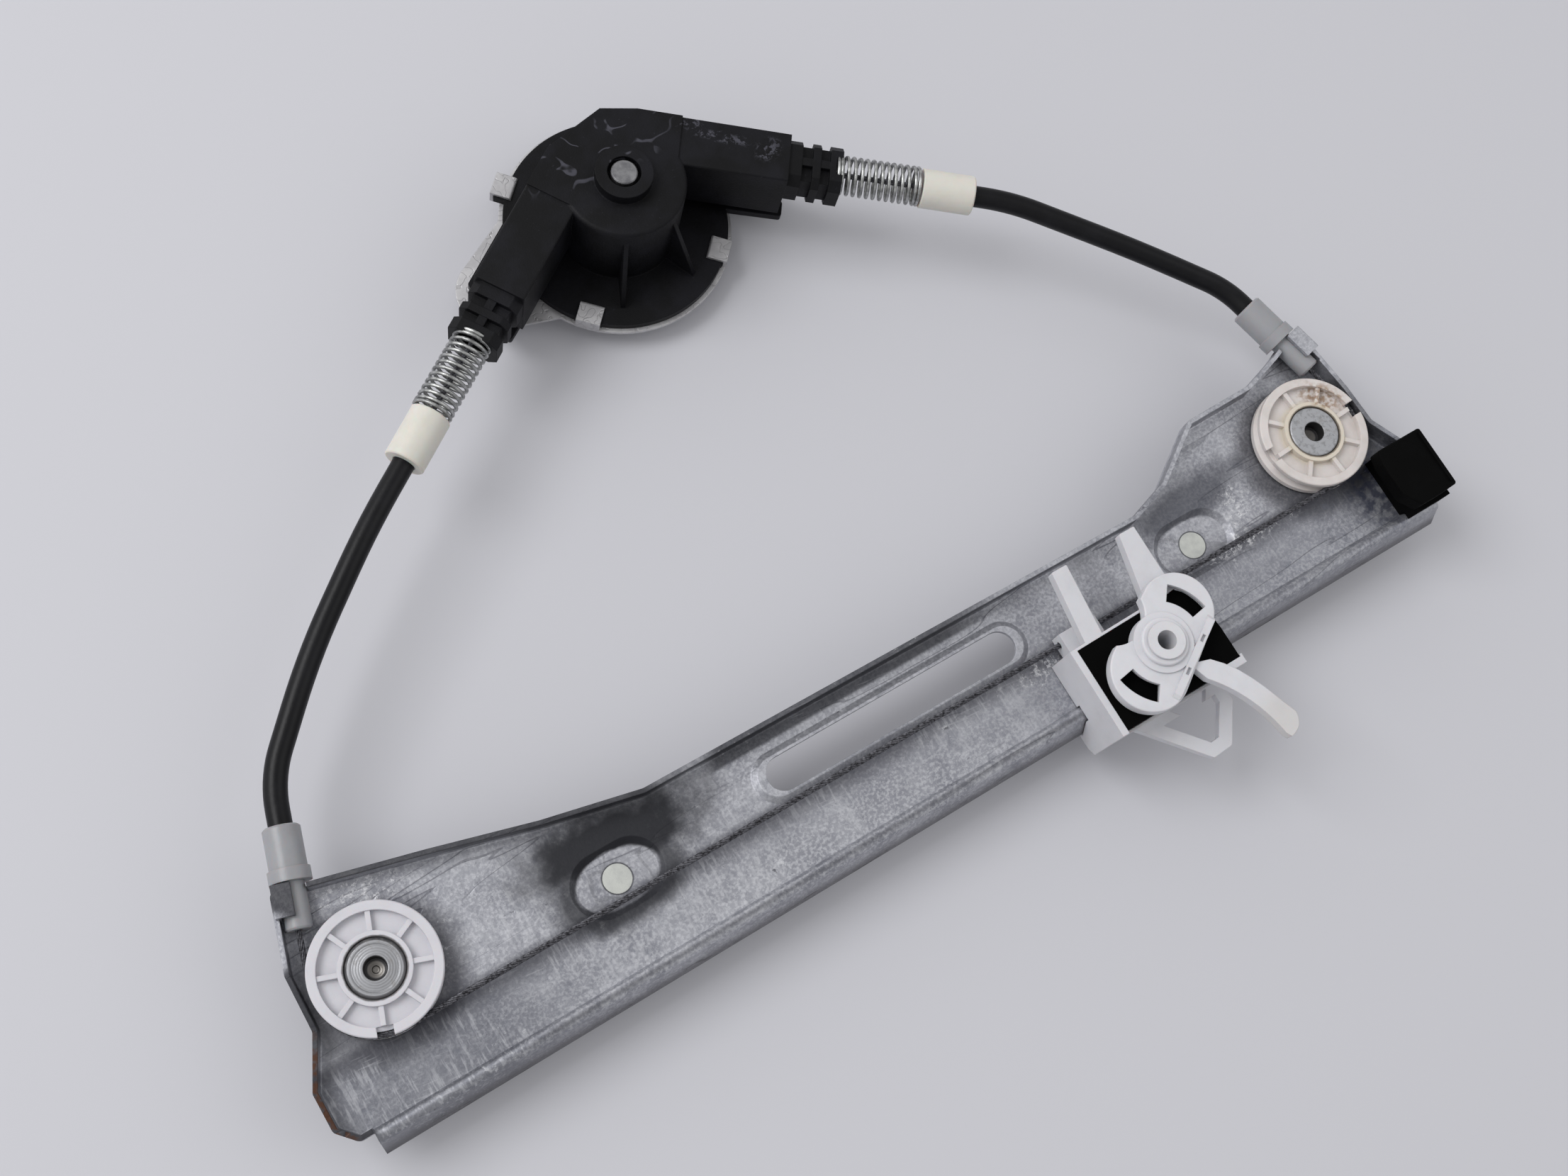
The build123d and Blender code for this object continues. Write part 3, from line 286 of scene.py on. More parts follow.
def srgb(red, green, blue):
    """A colour from 0 to 255 as a picture gives it, in the linear values that shaders use."""
    def linear(value):
        value = value / 255
        return value / 12.92 if value < 0.04045 else ((value + 0.055) / 1.055) ** 2.4
    return (linear(red), linear(green), linear(blue))


FINISHES = {}

# %% [markdown]
# The rail is hot-dip galvanised steel. Its zinc dries in a blue-grey mottle with
# faint crystals, dulls to a white bloom in places, and holds dark stains round
# the studs, where oil and dust have crept. Painted shade darkens it under the
# cable, at its left corner, round the pulleys and on the top flange's inner
# face, and painted highlights lighten its low edge and a band over the cable.
# Each of these is a mask, and each mask tints the colour of the one below.
# Places are given in the rail's own frame, so a stain stays beside the stud it
# belongs to.

# %% Galvanised rail
LEFT_PULLEY = Vector((-0.1894, 0.012, 0.0))
PLATE_LEVEL = 0.0035


def on_rail(along, across, height=0.0):
    """A place from the left pulley's axis in millimetres, as the model counts them."""
    return (LEFT_PULLEY.x + along * MM, LEFT_PULLEY.y + across * MM, PLATE_LEVEL + height * MM)


def line_marks(finish, size, width, place=None):
    """Thin wandering lines: where a smooth noise passes through its middle value."""
    wander = (finish.noise(size, 1.0, 0.4, place) - 0.5).math("ABSOLUTE")
    return 1 - wander.step(width * 0.4, width)


def galvanised_rail():
    zinc = Finish("galvanised")
    cloud = zinc.noise(0.022, 5, 0.6)
    speck = zinc.noise(0.0011, 3, 0.65)
    crystal = zinc.cells(0.0028, output="Color")
    colour = zinc.mix(cloud.step(0.3, 0.72), srgb(146, 147, 155), srgb(172, 173, 180))
    colour = zinc.mix(speck.step(0.42, 0.66) * 0.55, colour, srgb(204, 205, 210))
    colour = zinc.mix(crystal.step(0.4, 0.9) * 0.28, colour, srgb(112, 114, 124))
    pits = zinc.noise(0.0007, 2, 0.6).step(0.62, 0.70)
    colour = zinc.mix(pits * 0.35, colour, srgb(84, 86, 95))
    across = zinc.axis("Y")
    # painted shade: a darker band along the rail under the cable
    cable_shade_band = across.step(on_rail(0, -28)[1], on_rail(0, -22)[1]) * (1 - across.step(on_rail(0, -20)[1], on_rail(0, -15)[1]))
    colour = zinc.mix(cable_shade_band * 0.5, colour, srgb(86, 87, 95))
    # painted shade: the rail's left corner, below the cable, is darker
    corner = 1 - zinc.axis("X").step(on_rail(5, 0)[0], on_rail(75, 0)[0])
    colour = zinc.mix(corner * (1 - across.step(on_rail(0, -26)[1], on_rail(0, -16)[1])) * 0.55, colour, srgb(84, 86, 94))
    # painted highlight: light flecks along the rail's low edge, away from the left corner
    low_edge_highlight = 1 - across.step(on_rail(0, -31)[1], on_rail(0, -26)[1])
    colour = zinc.mix(low_edge_highlight * (1 - corner) * speck.step(0.45, 0.6) * 0.28, colour, srgb(196, 197, 202))
    streak = zinc.noise(0.0010, 2, 0.5, zinc.stretched(1, 0.14, 1)).step(0.5, 0.66) * zinc.noise(0.02, 2).step(0.42, 0.58)
    colour = zinc.mix(streak * 0.4, colour, srgb(196, 197, 202))
    # painted light: a lighter band just over the cable, from the middle of the rail to its right end
    lit_middle_band = across.step(on_rail(0, -16)[1], on_rail(0, -9)[1]) * zinc.axis("X").step(on_rail(95, 0)[0], on_rail(125, 0)[0])
    colour = zinc.mix(lit_middle_band * speck.step(0.3, 0.7) * 0.4, colour, srgb(198, 199, 206))
    right_low = zinc.axis("X").step(on_rail(275, 0)[0], on_rail(305, 0)[0]) * (1 - across.step(on_rail(0, -22)[1], on_rail(0, -18)[1]))
    colour = zinc.mix(right_low * 0.22, colour, srgb(96, 98, 108))
    # painted contact shade round both pulleys, together with grime
    pulley_shade_and_grime = zinc.spot(on_rail(0, -3), 0.0260, 0.0245, 0, 0.12, 0.006, 0.16).larger(zinc.spot(on_rail(360, -3), 0.0262, 0.0245, 0, 0.12, 0.006, 0.16))
    colour = zinc.mix(pulley_shade_and_grime * 0.62, colour, srgb(44, 44, 51))
    beside_slot = across.step(on_rail(0, 0.8)[1], on_rail(0, 2.2)[1])
    beside_slot = beside_slot * zinc.axis("X").step(on_rail(112, 0)[0], on_rail(122, 0)[0])
    beside_slot = beside_slot * (1 - zinc.axis("X").step(on_rail(205, 0)[0], on_rail(240, 0)[0]))
    colour = zinc.mix(beside_slot * 0.78, colour, srgb(42, 43, 50))
    blotch = zinc.noise(0.0052, 2, 0.4).step(0.63, 0.70) * zinc.noise(0.05, 1).step(0.4, 0.62)
    colour = zinc.mix(blotch * 0.35, colour, srgb(100, 103, 114))
    bloom = zinc.noise(0.004, 6, 0.75).step(0.58, 0.70) * zinc.noise(0.035, 2).step(0.45, 0.6)
    colour = zinc.mix(bloom * 0.6, colour, srgb(208, 209, 212))
    along = zinc.stretched(0.09, 1, 1, radians(2))
    scratch = line_marks(zinc, 0.006, 0.010, along) * zinc.noise(0.012, 2, 0.5, along).step(0.5, 0.6)
    colour = zinc.mix(scratch * 0.45, colour, srgb(76, 77, 86))
    shine = zinc.noise(0.0009, 2, 0.5, zinc.stretched(0.06, 1, 1, radians(-7)))
    colour = zinc.mix(shine.step(0.60, 0.68) * cloud.step(0.45, 0.6) * 0.22, colour, srgb(200, 201, 206))
    rubbed = 1 - (zinc.axis("Y") - on_rail(0, -33)[1]).math("ABSOLUTE").step(0.0015, 0.010)
    colour = zinc.mix(rubbed * zinc.noise(0.02, 4, 0.5, along).step(0.35, 0.7) * 0.35, colour, srgb(104, 106, 116))
    # painted shadow of the cable on the rail, together with a grease line along its run
    grease_and_cable_shadow = 1 - (zinc.axis("Y") - on_rail(0, -19.2)[1]).math("ABSOLUTE").step(0.0006, 0.0036)
    colour = zinc.mix(grease_and_cable_shadow * 0.45, colour, srgb(62, 62, 70))
    left_pad = zinc.spot(on_rail(75.6, -12), 0.0140, 0.0088, 0, 0.05, 0.003, 0.06)
    left_stain = zinc.spot(on_rail(80, -1.5), 0.031, 0.0125, radians(-6), 0.35, 0.008, 0.45)
    left_ring = zinc.spot(on_rail(75, -12), 0.0225, 0.0155, 0, 0.22, 0.006, 0.22)
    stain = left_stain.larger(left_ring * 0.85) * (1 - left_pad)
    colour = zinc.mix(stain * 0.98, colour, srgb(17, 18, 26))
    right_pad = zinc.spot(on_rail(303.1, -12), 0.0140, 0.0088, 0, 0.05, 0.003, 0.06)
    right_stain = zinc.spot(on_rail(309, 1.5), 0.026, 0.0078, radians(6), 0.4, 0.006, 0.5)
    colour = zinc.mix(right_stain * (1 - right_pad) * 0.75, colour, srgb(58, 60, 70))
    for along_at in (75.65, 303.15):
        seat = zinc.spot(on_rail(along_at, -12), 0.0051, 0.0051, 0, 0.02, 0.003, 0.05)
        colour = zinc.mix(seat * 0.8, colour, srgb(52, 53, 58))
    pad_line = line_marks(zinc, 0.012, 0.03) * left_pad.larger(right_pad)
    colour = zinc.mix(pad_line * 0.4, colour, srgb(112, 113, 118))
    blue = zinc.spot(on_rail(376, -27), 0.012, 0.016, radians(-30), 0.5, 0.006, 0.5)
    colour = zinc.mix(blue * zinc.noise(0.003, 3).step(0.4, 0.6) * 0.7, colour, srgb(52, 58, 84))
    flecks = zinc.noise(0.0021, 6, 0.85).step(0.53, 0.57)
    powder = zinc.spot(on_rail(323, -10), 0.010, 0.0045, radians(62), 0.9, 0.004, 0.6)
    powder = powder.larger(zinc.spot(on_rail(320, -20), 0.017, 0.0022, 0, 0.9, 0.004, 0.6))
    powder = powder.larger(zinc.spot(on_rail(231, -23), 0.008, 0.004, 0, 0.9, 0.004, 0.6))
    powder = powder.larger(zinc.spot(on_rail(6, 24), 0.014, 0.004, radians(-14), 0.9, 0.004, 0.5))
    colour = zinc.mix(powder * flecks * 0.8, colour, srgb(224, 224, 227))
    dents = zinc.noise(0.0042, 3, 0.6).step(0.70, 0.74) * zinc.noise(0.03, 1).step(0.5, 0.6)
    colour = zinc.mix(dents * 0.7, colour, srgb(70, 70, 76))
    lip = 1 - zinc.axis("Z").step(PLATE_LEVEL - 0.007, PLATE_LEVEL - 0.001)
    worn = zinc.noise(0.0016, 4, 0.7, zinc.stretched(0.12, 1, 1))
    colour = zinc.mix(lip * 0.75, colour, srgb(84, 82, 85))
    colour = zinc.mix(lip * worn.step(0.56, 0.66) * 0.8, colour, srgb(40, 39, 43))
    edge = zinc.axis("Z").step(PLATE_LEVEL + 0.0060, PLATE_LEVEL + 0.0070)
    left_end = 1 - zinc.axis("X").step(on_rail(60, 0)[0], on_rail(150, 0)[0])
    left_end = left_end * (1 - zinc.spot(on_rail(-25, 22), 0.010, 0.010, 0, 0.1, 0.004, 0.2))
    colour = zinc.mix(edge * left_end * 0.85, colour, srgb(34, 34, 39))
    # painted shade on the inner face of the top flange, together with grease
    flange_shade_and_grease = zinc.axis("Z").step(PLATE_LEVEL + 0.0020, PLATE_LEVEL + 0.0026) * (1 - zinc.axis("Z").step(PLATE_LEVEL + 0.0074, PLATE_LEVEL + 0.0078))
    flange_shade_and_grease = flange_shade_and_grease * zinc.axis("X").step(on_rail(20, 0)[0], on_rail(40, 0)[0]) * (1 - zinc.axis("X").step(on_rail(240, 0)[0], on_rail(330, 0)[0]) * 0.6)
    colour = zinc.mix(flange_shade_and_grease * 0.75, colour, srgb(40, 40, 47))
    rust = zinc.spot(on_rail(-29, -22), 0.006, 0.018, 0, 0.5, 0.003, 0.4) * zinc.noise(0.0028, 3).step(0.42, 0.56)
    colour = zinc.mix(edge * rust * 0.9, colour, srgb(74, 46, 30))
    zinc.paint(colour)
    zinc.link("Roughness", 0.32 + speck * 0.24 + stain * 0.10 + bloom * 0.2)
    zinc.link("Metallic", 0.68 - bloom * 0.5 - stain * 0.4)
    zinc.relief(speck * 0.5 + cloud * 0.3 - scratch * 0.5 - dents * 0.4, 0.00014, 0.0004)
    return zinc.material


FINISHES["galvanised"] = galvanised_rail()


def cover_zinc():
    """The drum's cover is thinner, brighter sheet, wrinkled where its tabs were folded, with painted shade in the
    creases.
    """
    zinc = Finish("cover_zinc", roughness=0.34, metallic=0.55)
    cloud = zinc.noise(0.010, 4, 0.6)
    speck = zinc.noise(0.0010, 3, 0.65)
    colour = zinc.mix(cloud.step(0.3, 0.7), srgb(176, 175, 178), srgb(205, 204, 206))
    # painted shade: the crease lines are darkened in colour as well as sunk by the bump
    crease = line_marks(zinc, 0.004, 0.02)
    colour = zinc.mix(crease * 0.25, colour, srgb(120, 119, 124))
    zinc.paint(colour)
    zinc.link("Roughness", 0.30 + speck * 0.2)
    zinc.relief(cloud + speck * 0.3 - crease * 0.6, 0.00012, 0.0004)
    return zinc.material


COVER_ZINC = cover_zinc()
print("rail finish has", len(FINISHES["galvanised"].node_tree.nodes), "nodes")

# %% [markdown]
# Moulded nylon shows three things: a faint sheen from its mould, soft edges,
# and dirt. The pieces differ in colour, in dirt and in a few marks, one of
# them painted shade in the left pulley's hub gap, so one function makes them all.

# %% Moulded plastics
def moulded(name, clean, dirty, roughness, dirt=0.3, marks=(), **constants):
    nylon = Finish(name, roughness=roughness, **constants)
    cloud = nylon.noise(0.009, 4, 0.6)
    fine = nylon.noise(0.0009, 3, 0.6)
    smear = cloud.step(0.42, 0.75) * dirt
    colour = nylon.mix(smear, clean, dirty)
    speckle = nylon.noise(0.0006, 2, 0.7).step(0.66, 0.74) * dirt
    colour = nylon.mix(speckle, colour, dirty)
    for centre, half, edge, strength, mark in marks:
        colour = nylon.mix(nylon.spot(centre, half, half, 0, 0.04, 0.003, edge) * strength, colour, mark)
    nylon.paint(colour)
    nylon.link("Roughness", roughness + fine * 0.12 - 0.06 + smear * 0.15)
    nylon.relief(fine + cloud * 0.6, 0.00004, 0.0004)
    return nylon.material


def stained_pulley():
    """The right pulley's old nylon: warm white, with brown grease beside its upper notch."""
    nylon = Finish("aged_nylon", roughness=0.42, Subsurface_Weight=0.08, Subsurface_Scale=0.002)
    cloud = nylon.noise(0.008, 4, 0.6)
    fine = nylon.noise(0.0009, 3, 0.6)
    colour = nylon.mix(cloud.step(0.35, 0.75) * 0.5, srgb(208, 202, 200), srgb(184, 176, 170))
    hub = nylon.spot(on_rail(361, 0), 0.0118, 0.0118, 0, 0.12, 0.002, 0.12)
    colour = nylon.mix(hub * 0.5, colour, srgb(204, 192, 164))
    # painted shade in the gap between the hub and the rim
    right_hub_gap_shade = nylon.spot(on_rail(361, 0), 0.00962, 0.00962, 0, 0.03, 0.002, 0.03)
    colour = nylon.mix(right_hub_gap_shade * 0.85, colour, srgb(62, 50, 36))
    grease = nylon.spot(on_rail(371.6, 9.4), 0.0075, 0.0038, radians(-50), 0.6, 0.0022, 0.5)
    colour = nylon.mix(grease * nylon.noise(0.0016, 3).step(0.35, 0.6) * 0.8, colour, srgb(132, 98, 60))
    nylon.paint(colour)
    nylon.link("Roughness", 0.36 + fine * 0.12 + grease * 0.1)
    nylon.relief(fine + cloud * 0.6, 0.00005, 0.0004)
    return nylon.material


NYLON_GLOW = {"Subsurface_Weight": 0.1, "Subsurface_Scale": 0.002}
DULL = {"Specular_IOR_Level": 0.06}
CLEAR_GLOW = {"Subsurface_Weight": 0.35, "Subsurface_Scale": 0.003}
# painted shade: the dark gap between the left pulley's hub and its rim
HUB_GAP_SHADE = (on_rail(0, 0), 0.00962, 0.03, 0.85, srgb(40, 36, 34))
LEVER_TIP = (on_rail(261.1 + 23, -36.6 - 44), 0.013, 0.5, 0.5, srgb(186, 182, 177))
for name, clean, dirty, roughness, dirt, glow in (
    ("white_nylon", (199, 199, 204), (148, 147, 152), 0.42, 0.14, NYLON_GLOW),
    ("pulley_nylon", (200, 199, 205), (150, 149, 154), 0.42, 0.16, NYLON_GLOW | {"marks": [HUB_GAP_SHADE]}),
    ("clamp_nylon", (204, 204, 209), (148, 147, 152), 0.42, 0.14, NYLON_GLOW | {"marks": [LEVER_TIP]}),
    ("clear_nylon", (146, 147, 151), (122, 122, 126), 0.34, 0.3, CLEAR_GLOW),
    ("ferrule_nylon", (208, 206, 198), (186, 182, 172), 0.4, 0.3, CLEAR_GLOW),
    ("drum_nylon", (205, 205, 200), (90, 85, 80), 0.45, 0.3, {}),
    ("black_sheath", (12, 12, 15), (30, 30, 35), 0.36, 0.3, {"Specular_IOR_Level": 0.2}),
    ("pad_rubber", (3, 3, 3), (9, 9, 10), 0.85, 0.3, DULL),
    ("stop_rubber", (4, 4, 4), (12, 12, 13), 0.75, 0.35, DULL),
    ("bush_metal", (204, 204, 208), (140, 139, 142), 0.4, 0.2, NYLON_GLOW),
):
    FINISHES[name] = moulded(name, srgb(*clean), srgb(*dirty), roughness, dirt, **glow)
FINISHES["aged_nylon"] = stained_pulley()
print("plastics", [name for name in FINISHES if name != "galvanised"])

# %% [markdown]
# The housing is a matt black moulding whose right arm and boss carry grey-violet
# scuffs. A scuff is fine noise stretched one way and cut off high, inside a
# broad patch, so that most of the black stays clean.

# %% Drum housing
SHAFT = Vector((0.0015, 0.1995, 0.0))


def housing_black():
    black = Finish("black_moulding", Specular_IOR_Level=0.16)
    grain = black.noise(0.0006, 3, 0.6)
    broad = black.noise(0.016, 4, 0.6)
    colour = black.mix(broad.step(0.35, 0.7), srgb(11, 11, 13), srgb(21, 21, 26))
    on_top = black.axis("Z").step(PLATE_LEVEL + 0.0170, PLATE_LEVEL + 0.0178)
    rub = black.spot((SHAFT.x + 0.050, SHAFT.y - 0.012, 0), 0.0055, 0.0040, 0.3, 0.9, 0.003, 0.3)
    rub = rub.larger(black.spot((SHAFT.x + 0.038, SHAFT.y - 0.001, 0), 0.0115, 0.0022, radians(-40), 0.9, 0.003, 0.3))
    rub = rub.larger(black.spot((SHAFT.x + 0.031, SHAFT.y + 0.008, 0), 0.0040, 0.0020, radians(-10), 0.9, 0.002, 0.3))
    rub = rub * black.noise(0.0030, 5, 0.75).step(0.50, 0.57)
    scrawl = line_marks(black, 0.010, 0.024) * black.noise(0.007, 2).step(0.46, 0.54)
    scrawl = scrawl * black.spot((SHAFT.x - 0.003, SHAFT.y + 0.013, 0), 0.026, 0.010, 0, 0.3, 0.005, 0.3)
    scuff = rub.larger(scrawl) * on_top
    colour = black.mix(scuff * 0.55, colour, srgb(88, 88, 98))
    fleck = black.noise(0.0012, 2, 0.7).step(0.68, 0.74)
    colour = black.mix(fleck * 0.25, colour, srgb(56, 56, 64))
    black.paint(colour)
    black.link("Roughness", 0.44 + grain * 0.16 + scuff * 0.12)
    black.relief(grain, 0.00008, 0.0005)
    return black.material


FINISHES["black_moulding"] = housing_black()
print("housing finish made")

# %% [markdown]
# Bare and plated metals need little colour and much care in their roughness.
# The stud heads carry a faint yellow-green passivation, the springs are bright,
# the rivets are brushed round by the riveting tool, and the rope is greased.

# %% Small metals
def plated(name, light, dark, roughness, metallic=0.9, patch=0.004, soften=0.0002):
    metal = Finish(name, roughness=roughness, metallic=metallic)
    cloud = metal.noise(patch, 4, 0.6)
    fine = metal.noise(patch / 8, 2, 0.6)
    metal.paint(metal.mix(cloud.step(0.3, 0.7), light, dark))
    metal.link("Roughness", roughness + cloud * 0.15 + fine * 0.08)
    metal.relief(fine + cloud, 0.00003, soften)
    return metal.material


FINISHES["plated_stud"] = plated("plated_stud", srgb(200, 202, 197), srgb(184, 186, 183), 0.4, 0.5)
FINISHES["zinc_spring"] = plated("zinc_spring", srgb(190, 191, 190), srgb(126, 127, 127), 0.24, 1.0, 0.002)
FINISHES["wire_rope"] = plated("wire_rope", srgb(112, 112, 118), srgb(34, 33, 37), 0.42, 0.7, 0.001)
FINISHES["shaft_steel"] = plated("shaft_steel", srgb(150, 150, 152), srgb(110, 110, 114), 0.35)
FINISHES["nipple_metal"] = plated("nipple_metal", srgb(160, 160, 162), srgb(120, 120, 124), 0.4)


def brushed_rivet():
    """Steel brushed round in rings by the riveting tool; the right one is duller and mottled."""
    steel = Finish("rivet_steel")
    is_left = 1 - steel.axis("X").step(-0.01, 0.01)
    ring = steel.rings(on_rail(0, 0), 0.0004) * is_left
    cloud = steel.noise(0.0022, 4, 0.6)
    blot = steel.noise(0.0016, 3, 0.7)
    colour = steel.mix(ring.step(0.25, 0.8) * 0.3, srgb(168, 169, 173), srgb(120, 119, 120))
    colour = steel.mix(cloud.step(0.52, 0.68) * 0.4, colour, srgb(112, 107, 102))
    colour = steel.mix((1 - is_left) * blot.step(0.5, 0.62) * 0.5, colour, srgb(120, 121, 122))
    # painted shade in each rivet's blind hole: a dark ring at its wall and a darker brownish floor
    for along in (0, 361):
        hole_shade_ring = steel.spot(on_rail(along, 0), 0.0036, 0.0036, 0, 0.02, 0.002, 0.03)
        hole_shade_ring = hole_shade_ring * (1 - steel.spot(on_rail(along, 0), 0.0025, 0.0025, 0, 0.04, 0.002, 0.12))
        colour = steel.mix(steel.spot(on_rail(along, 0), 0.0026, 0.0026, 0, 0.04, 0.002, 0.1) * 0.8, colour, srgb(104, 99, 92))
        colour = steel.mix(hole_shade_ring * 0.92, colour, srgb(24, 22, 22))
    steel.paint(colour)
    steel.link("Metallic", 0.92 - (1 - is_left) * 0.3 - cloud.step(0.52, 0.68) * 0.3)
    steel.link("Roughness", 0.24 + (1 - is_left) * 0.16 + cloud * 0.2)
    steel.relief(ring * 0.5 + cloud * 0.4, 0.00003, 0.0002)
    return steel.material


FINISHES["rivet_steel"] = brushed_rivet()
print("finishes", len(FINISHES))

# %% [markdown]
# The construction model arrives as loose flat triangles. A copy of each piece
# is welded together and shaded smooth, but for edges sharper than a limit, and
# the copy then stands for the piece.

# %% Smooth copies of the model's pieces
CREASE = radians(32)


def put(piece, node, finish=None):
    """Seat a finished piece on the body of the node that it stands for."""
    piece.data.materials.clear()
    piece.data.materials.append(finish or FINISHES[SLOT_OF[node]])
    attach(piece, BODY_OF[node])
    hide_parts(node)
    return piece


def smooth_copy(node, crease=CREASE):
    """A welded, smooth-shaded copy of one construction node."""
    work = bmesh.new()
    work.from_mesh(frame["nodes"][node].data)
    bmesh.ops.remove_doubles(work, verts=work.verts, dist=2e-6)
    points = [vertex.co.copy() for vertex in work.verts]
    faces = [[vertex.index for vertex in face.verts] for face in work.faces]
    work.free()
    mesh = bpy.data.meshes.new("fine_" + node)
    mesh.from_pydata(points, [], faces)
    mesh.validate()
    mesh.shade_smooth()
    mesh.set_sharp_from_angle(angle=crease)
    piece = bpy.data.objects.new("fine_" + node, mesh)
    bpy.context.scene.collection.objects.link(piece)
    return piece


OWN_FINISH = {"drum_cover": COVER_ZINC, "left_pulley": FINISHES["pulley_nylon"]}
OWN_FINISH |= {side + "_ferrule": FINISHES["ferrule_nylon"] for side in ("left", "right")}
MADE_BELOW = {"left_pulley_rivet", "right_pulley_rivet", "glass_clamp", "left_spring", "right_spring", "wire_cable", "left_drum_cable", "right_drum_cable"}
for node in sorted(BODY_OF):
    if node not in MADE_BELOW:
        put(smooth_copy(node), node, OWN_FINISH.get(node))
print("copied", len(BODY_OF) - len(MADE_BELOW), "pieces")

# %% [markdown]
# The rivets were turned and then pressed shut, so each is a profile spun about
# its axis: a bevelled head, a shallow ring, and a blind hole with a drill point.
# Spinning gives a finer and rounder head than the construction model needs.

# %% Turned rivets
PULLEY_SPAN = 361.0
RIVET_HEAD = {
    "left_pulley_rivet": ((0, 3.4), (1.0, 3.5), (1.2, 4.0), (3.3, 4.3), (3.4, 8.5), (3.8, 8.9), (6.9, 8.75), (7.2, 9.0), (8.0, 9.0), (8.9, 8.3), (8.9, 7.9)),
    "right_pulley_rivet": ((0, 3.4), (3.45, 4.0), (3.5, 8.7), (3.8, 9.0), (8.5, 9.0), (8.9, 8.7), (8.9, 7.9)),
}
RIVET_SHANK = ((5.0, 7.9), (5.0, 0.0), (3.5, 0.0), (3.5, -1.5), (5.7, -1.5), (5.6, -2.7), (0, -3.1))


def spun(name, profile, place, segments=96):
    """A solid of revolution about Z, from (radius, height) pairs in millimetres."""
    work = bmesh.new()
    rows = []
    for radius, height in profile:
        count = segments if radius > 0 else 1
        row = []
        for number in range(count):
            angle = 2 * pi * number / count
            row.append(work.verts.new(Vector((radius * cos(angle), radius * sin(angle), height)) * MM + place))
        rows.append(row)
    for low, high in zip(rows, rows[1:]):
        for number in range(segments):
            after = (number + 1) % segments
            corners = [low[number % len(low)], low[after % len(low)], high[after % len(high)], high[number % len(high)]]
            work.faces.new(list(dict.fromkeys(corners)))
    bmesh.ops.recalc_face_normals(work, faces=work.faces)
    mesh = bpy.data.meshes.new(name)
    work.to_mesh(mesh)
    work.free()
    mesh.shade_smooth()
    mesh.set_sharp_from_angle(angle=radians(28))
    piece = bpy.data.objects.new(name, mesh)
    bpy.context.scene.collection.objects.link(piece)
    return piece


for node, along in (("left_pulley_rivet", 0), ("right_pulley_rivet", PULLEY_SPAN)):
    rivet = spun("turned_" + node, RIVET_HEAD[node] + RIVET_SHANK, Vector(on_rail(along, 0)))
    put(rivet, node)
    print(node, len(rivet.data.polygons), "faces")

# %% [markdown]
# The clamp is a thin shell moulding, while the construction model holds it as a
# full plate. Its copy is hollowed from below, its two curved slots are cut a
# little wider, and its lever is slimmed. Each cutter is a closed loop of points
# stretched between two heights, and Boolean modifiers take the cutters away.

# %% Clamp as a thin shell
CLAMP_PLACE = (261.1, -36.6)
CLAMP_AXIS = 30.0
CLAMP_LOW, CLAMP_SHELL = 20.3, 1.4
SLOT_IN, SLOT_OUT = 13.9, 19.9
SLOT_HALF = 21.0


def cutter(loop, low, high):
    """A closed solid between two heights, from a loop of places round the clamp's axis."""
    count = len(loop)
    points = [on_rail(CLAMP_PLACE[0] + x, CLAMP_PLACE[1] + y, height) for height in (low, high) for x, y in loop]
    faces = [tuple(range(count))[::-1], tuple(range(count, 2 * count))]
    faces += [(i, (i + 1) % count, count + (i + 1) % count, count + i) for i in range(count)]
    mesh = bpy.data.meshes.new("cutter")
    mesh.from_pydata(points, [], faces)
    piece = bpy.data.objects.new("cutter", mesh)
    bpy.context.scene.collection.objects.link(piece)
    return piece


def arc(radius, first, last, centre=(0, 0), steps=16):
    """Places along an arc, in millimetres, between two angles in degrees."""
    angles = [radians(first + (last - first) * number / steps) for number in range(steps + 1)]
    return [(centre[0] + radius * cos(angle), centre[1] + radius * sin(angle)) for angle in angles]


def sector(facing, inner, outer, half, low, high):
    """A sector of a ring that faces one way."""
    return cutter(arc(outer, facing - half, facing + half) + arc(inner, facing + half, facing - half), low, high)


def cut(piece, cutters):
    """Take the cutters out of a piece and keep the result as its mesh."""
    for cutter in cutters:
        boolean = piece.modifiers.new("cut", "BOOLEAN")
        boolean.operation = "DIFFERENCE"
        boolean.solver = "EXACT"
        boolean.object = cutter
    bpy.context.view_layer.update()
    mesh = bpy.data.meshes.new_from_object(piece.evaluated_get(bpy.context.evaluated_depsgraph_get()))
    piece.modifiers.clear()
    piece.data = mesh
    mesh.set_sharp_from_angle(angle=CREASE)
    for cutter in cutters:
        bpy.data.objects.remove(cutter)


LEVER_SIDE = [(11.0, -12.1), (14.4, -15.6), (17.4, -19.7), (20.0, -24.4), (22.3, -29.6), (24.3, -35.0), (26.6, -40.6), (33, -38), (31, -14), (17.5, -9.6), (11.8, -10.6)]
clamp = smooth_copy("glass_clamp")
before = len(clamp.data.polygons)
cutters = [cutter(LEVER_SIDE, CLAMP_LOW - 1, CLAMP_LOW + 9)]
for turn in (0, 180):
    cutters.append(sector(CLAMP_AXIS + turn, SLOT_IN, SLOT_OUT, SLOT_HALF, CLAMP_LOW - 1, CLAMP_LOW + 9))
    cutters.append(sector(CLAMP_AXIS + turn, 12.8, 20.9, 24, CLAMP_LOW - 1.2, CLAMP_LOW + 4.4 - CLAMP_SHELL))
cut(clamp, cutters)
put(clamp, "glass_clamp", FINISHES["clamp_nylon"])
print("clamp", before, "->", len(clamp.data.polygons), "faces")

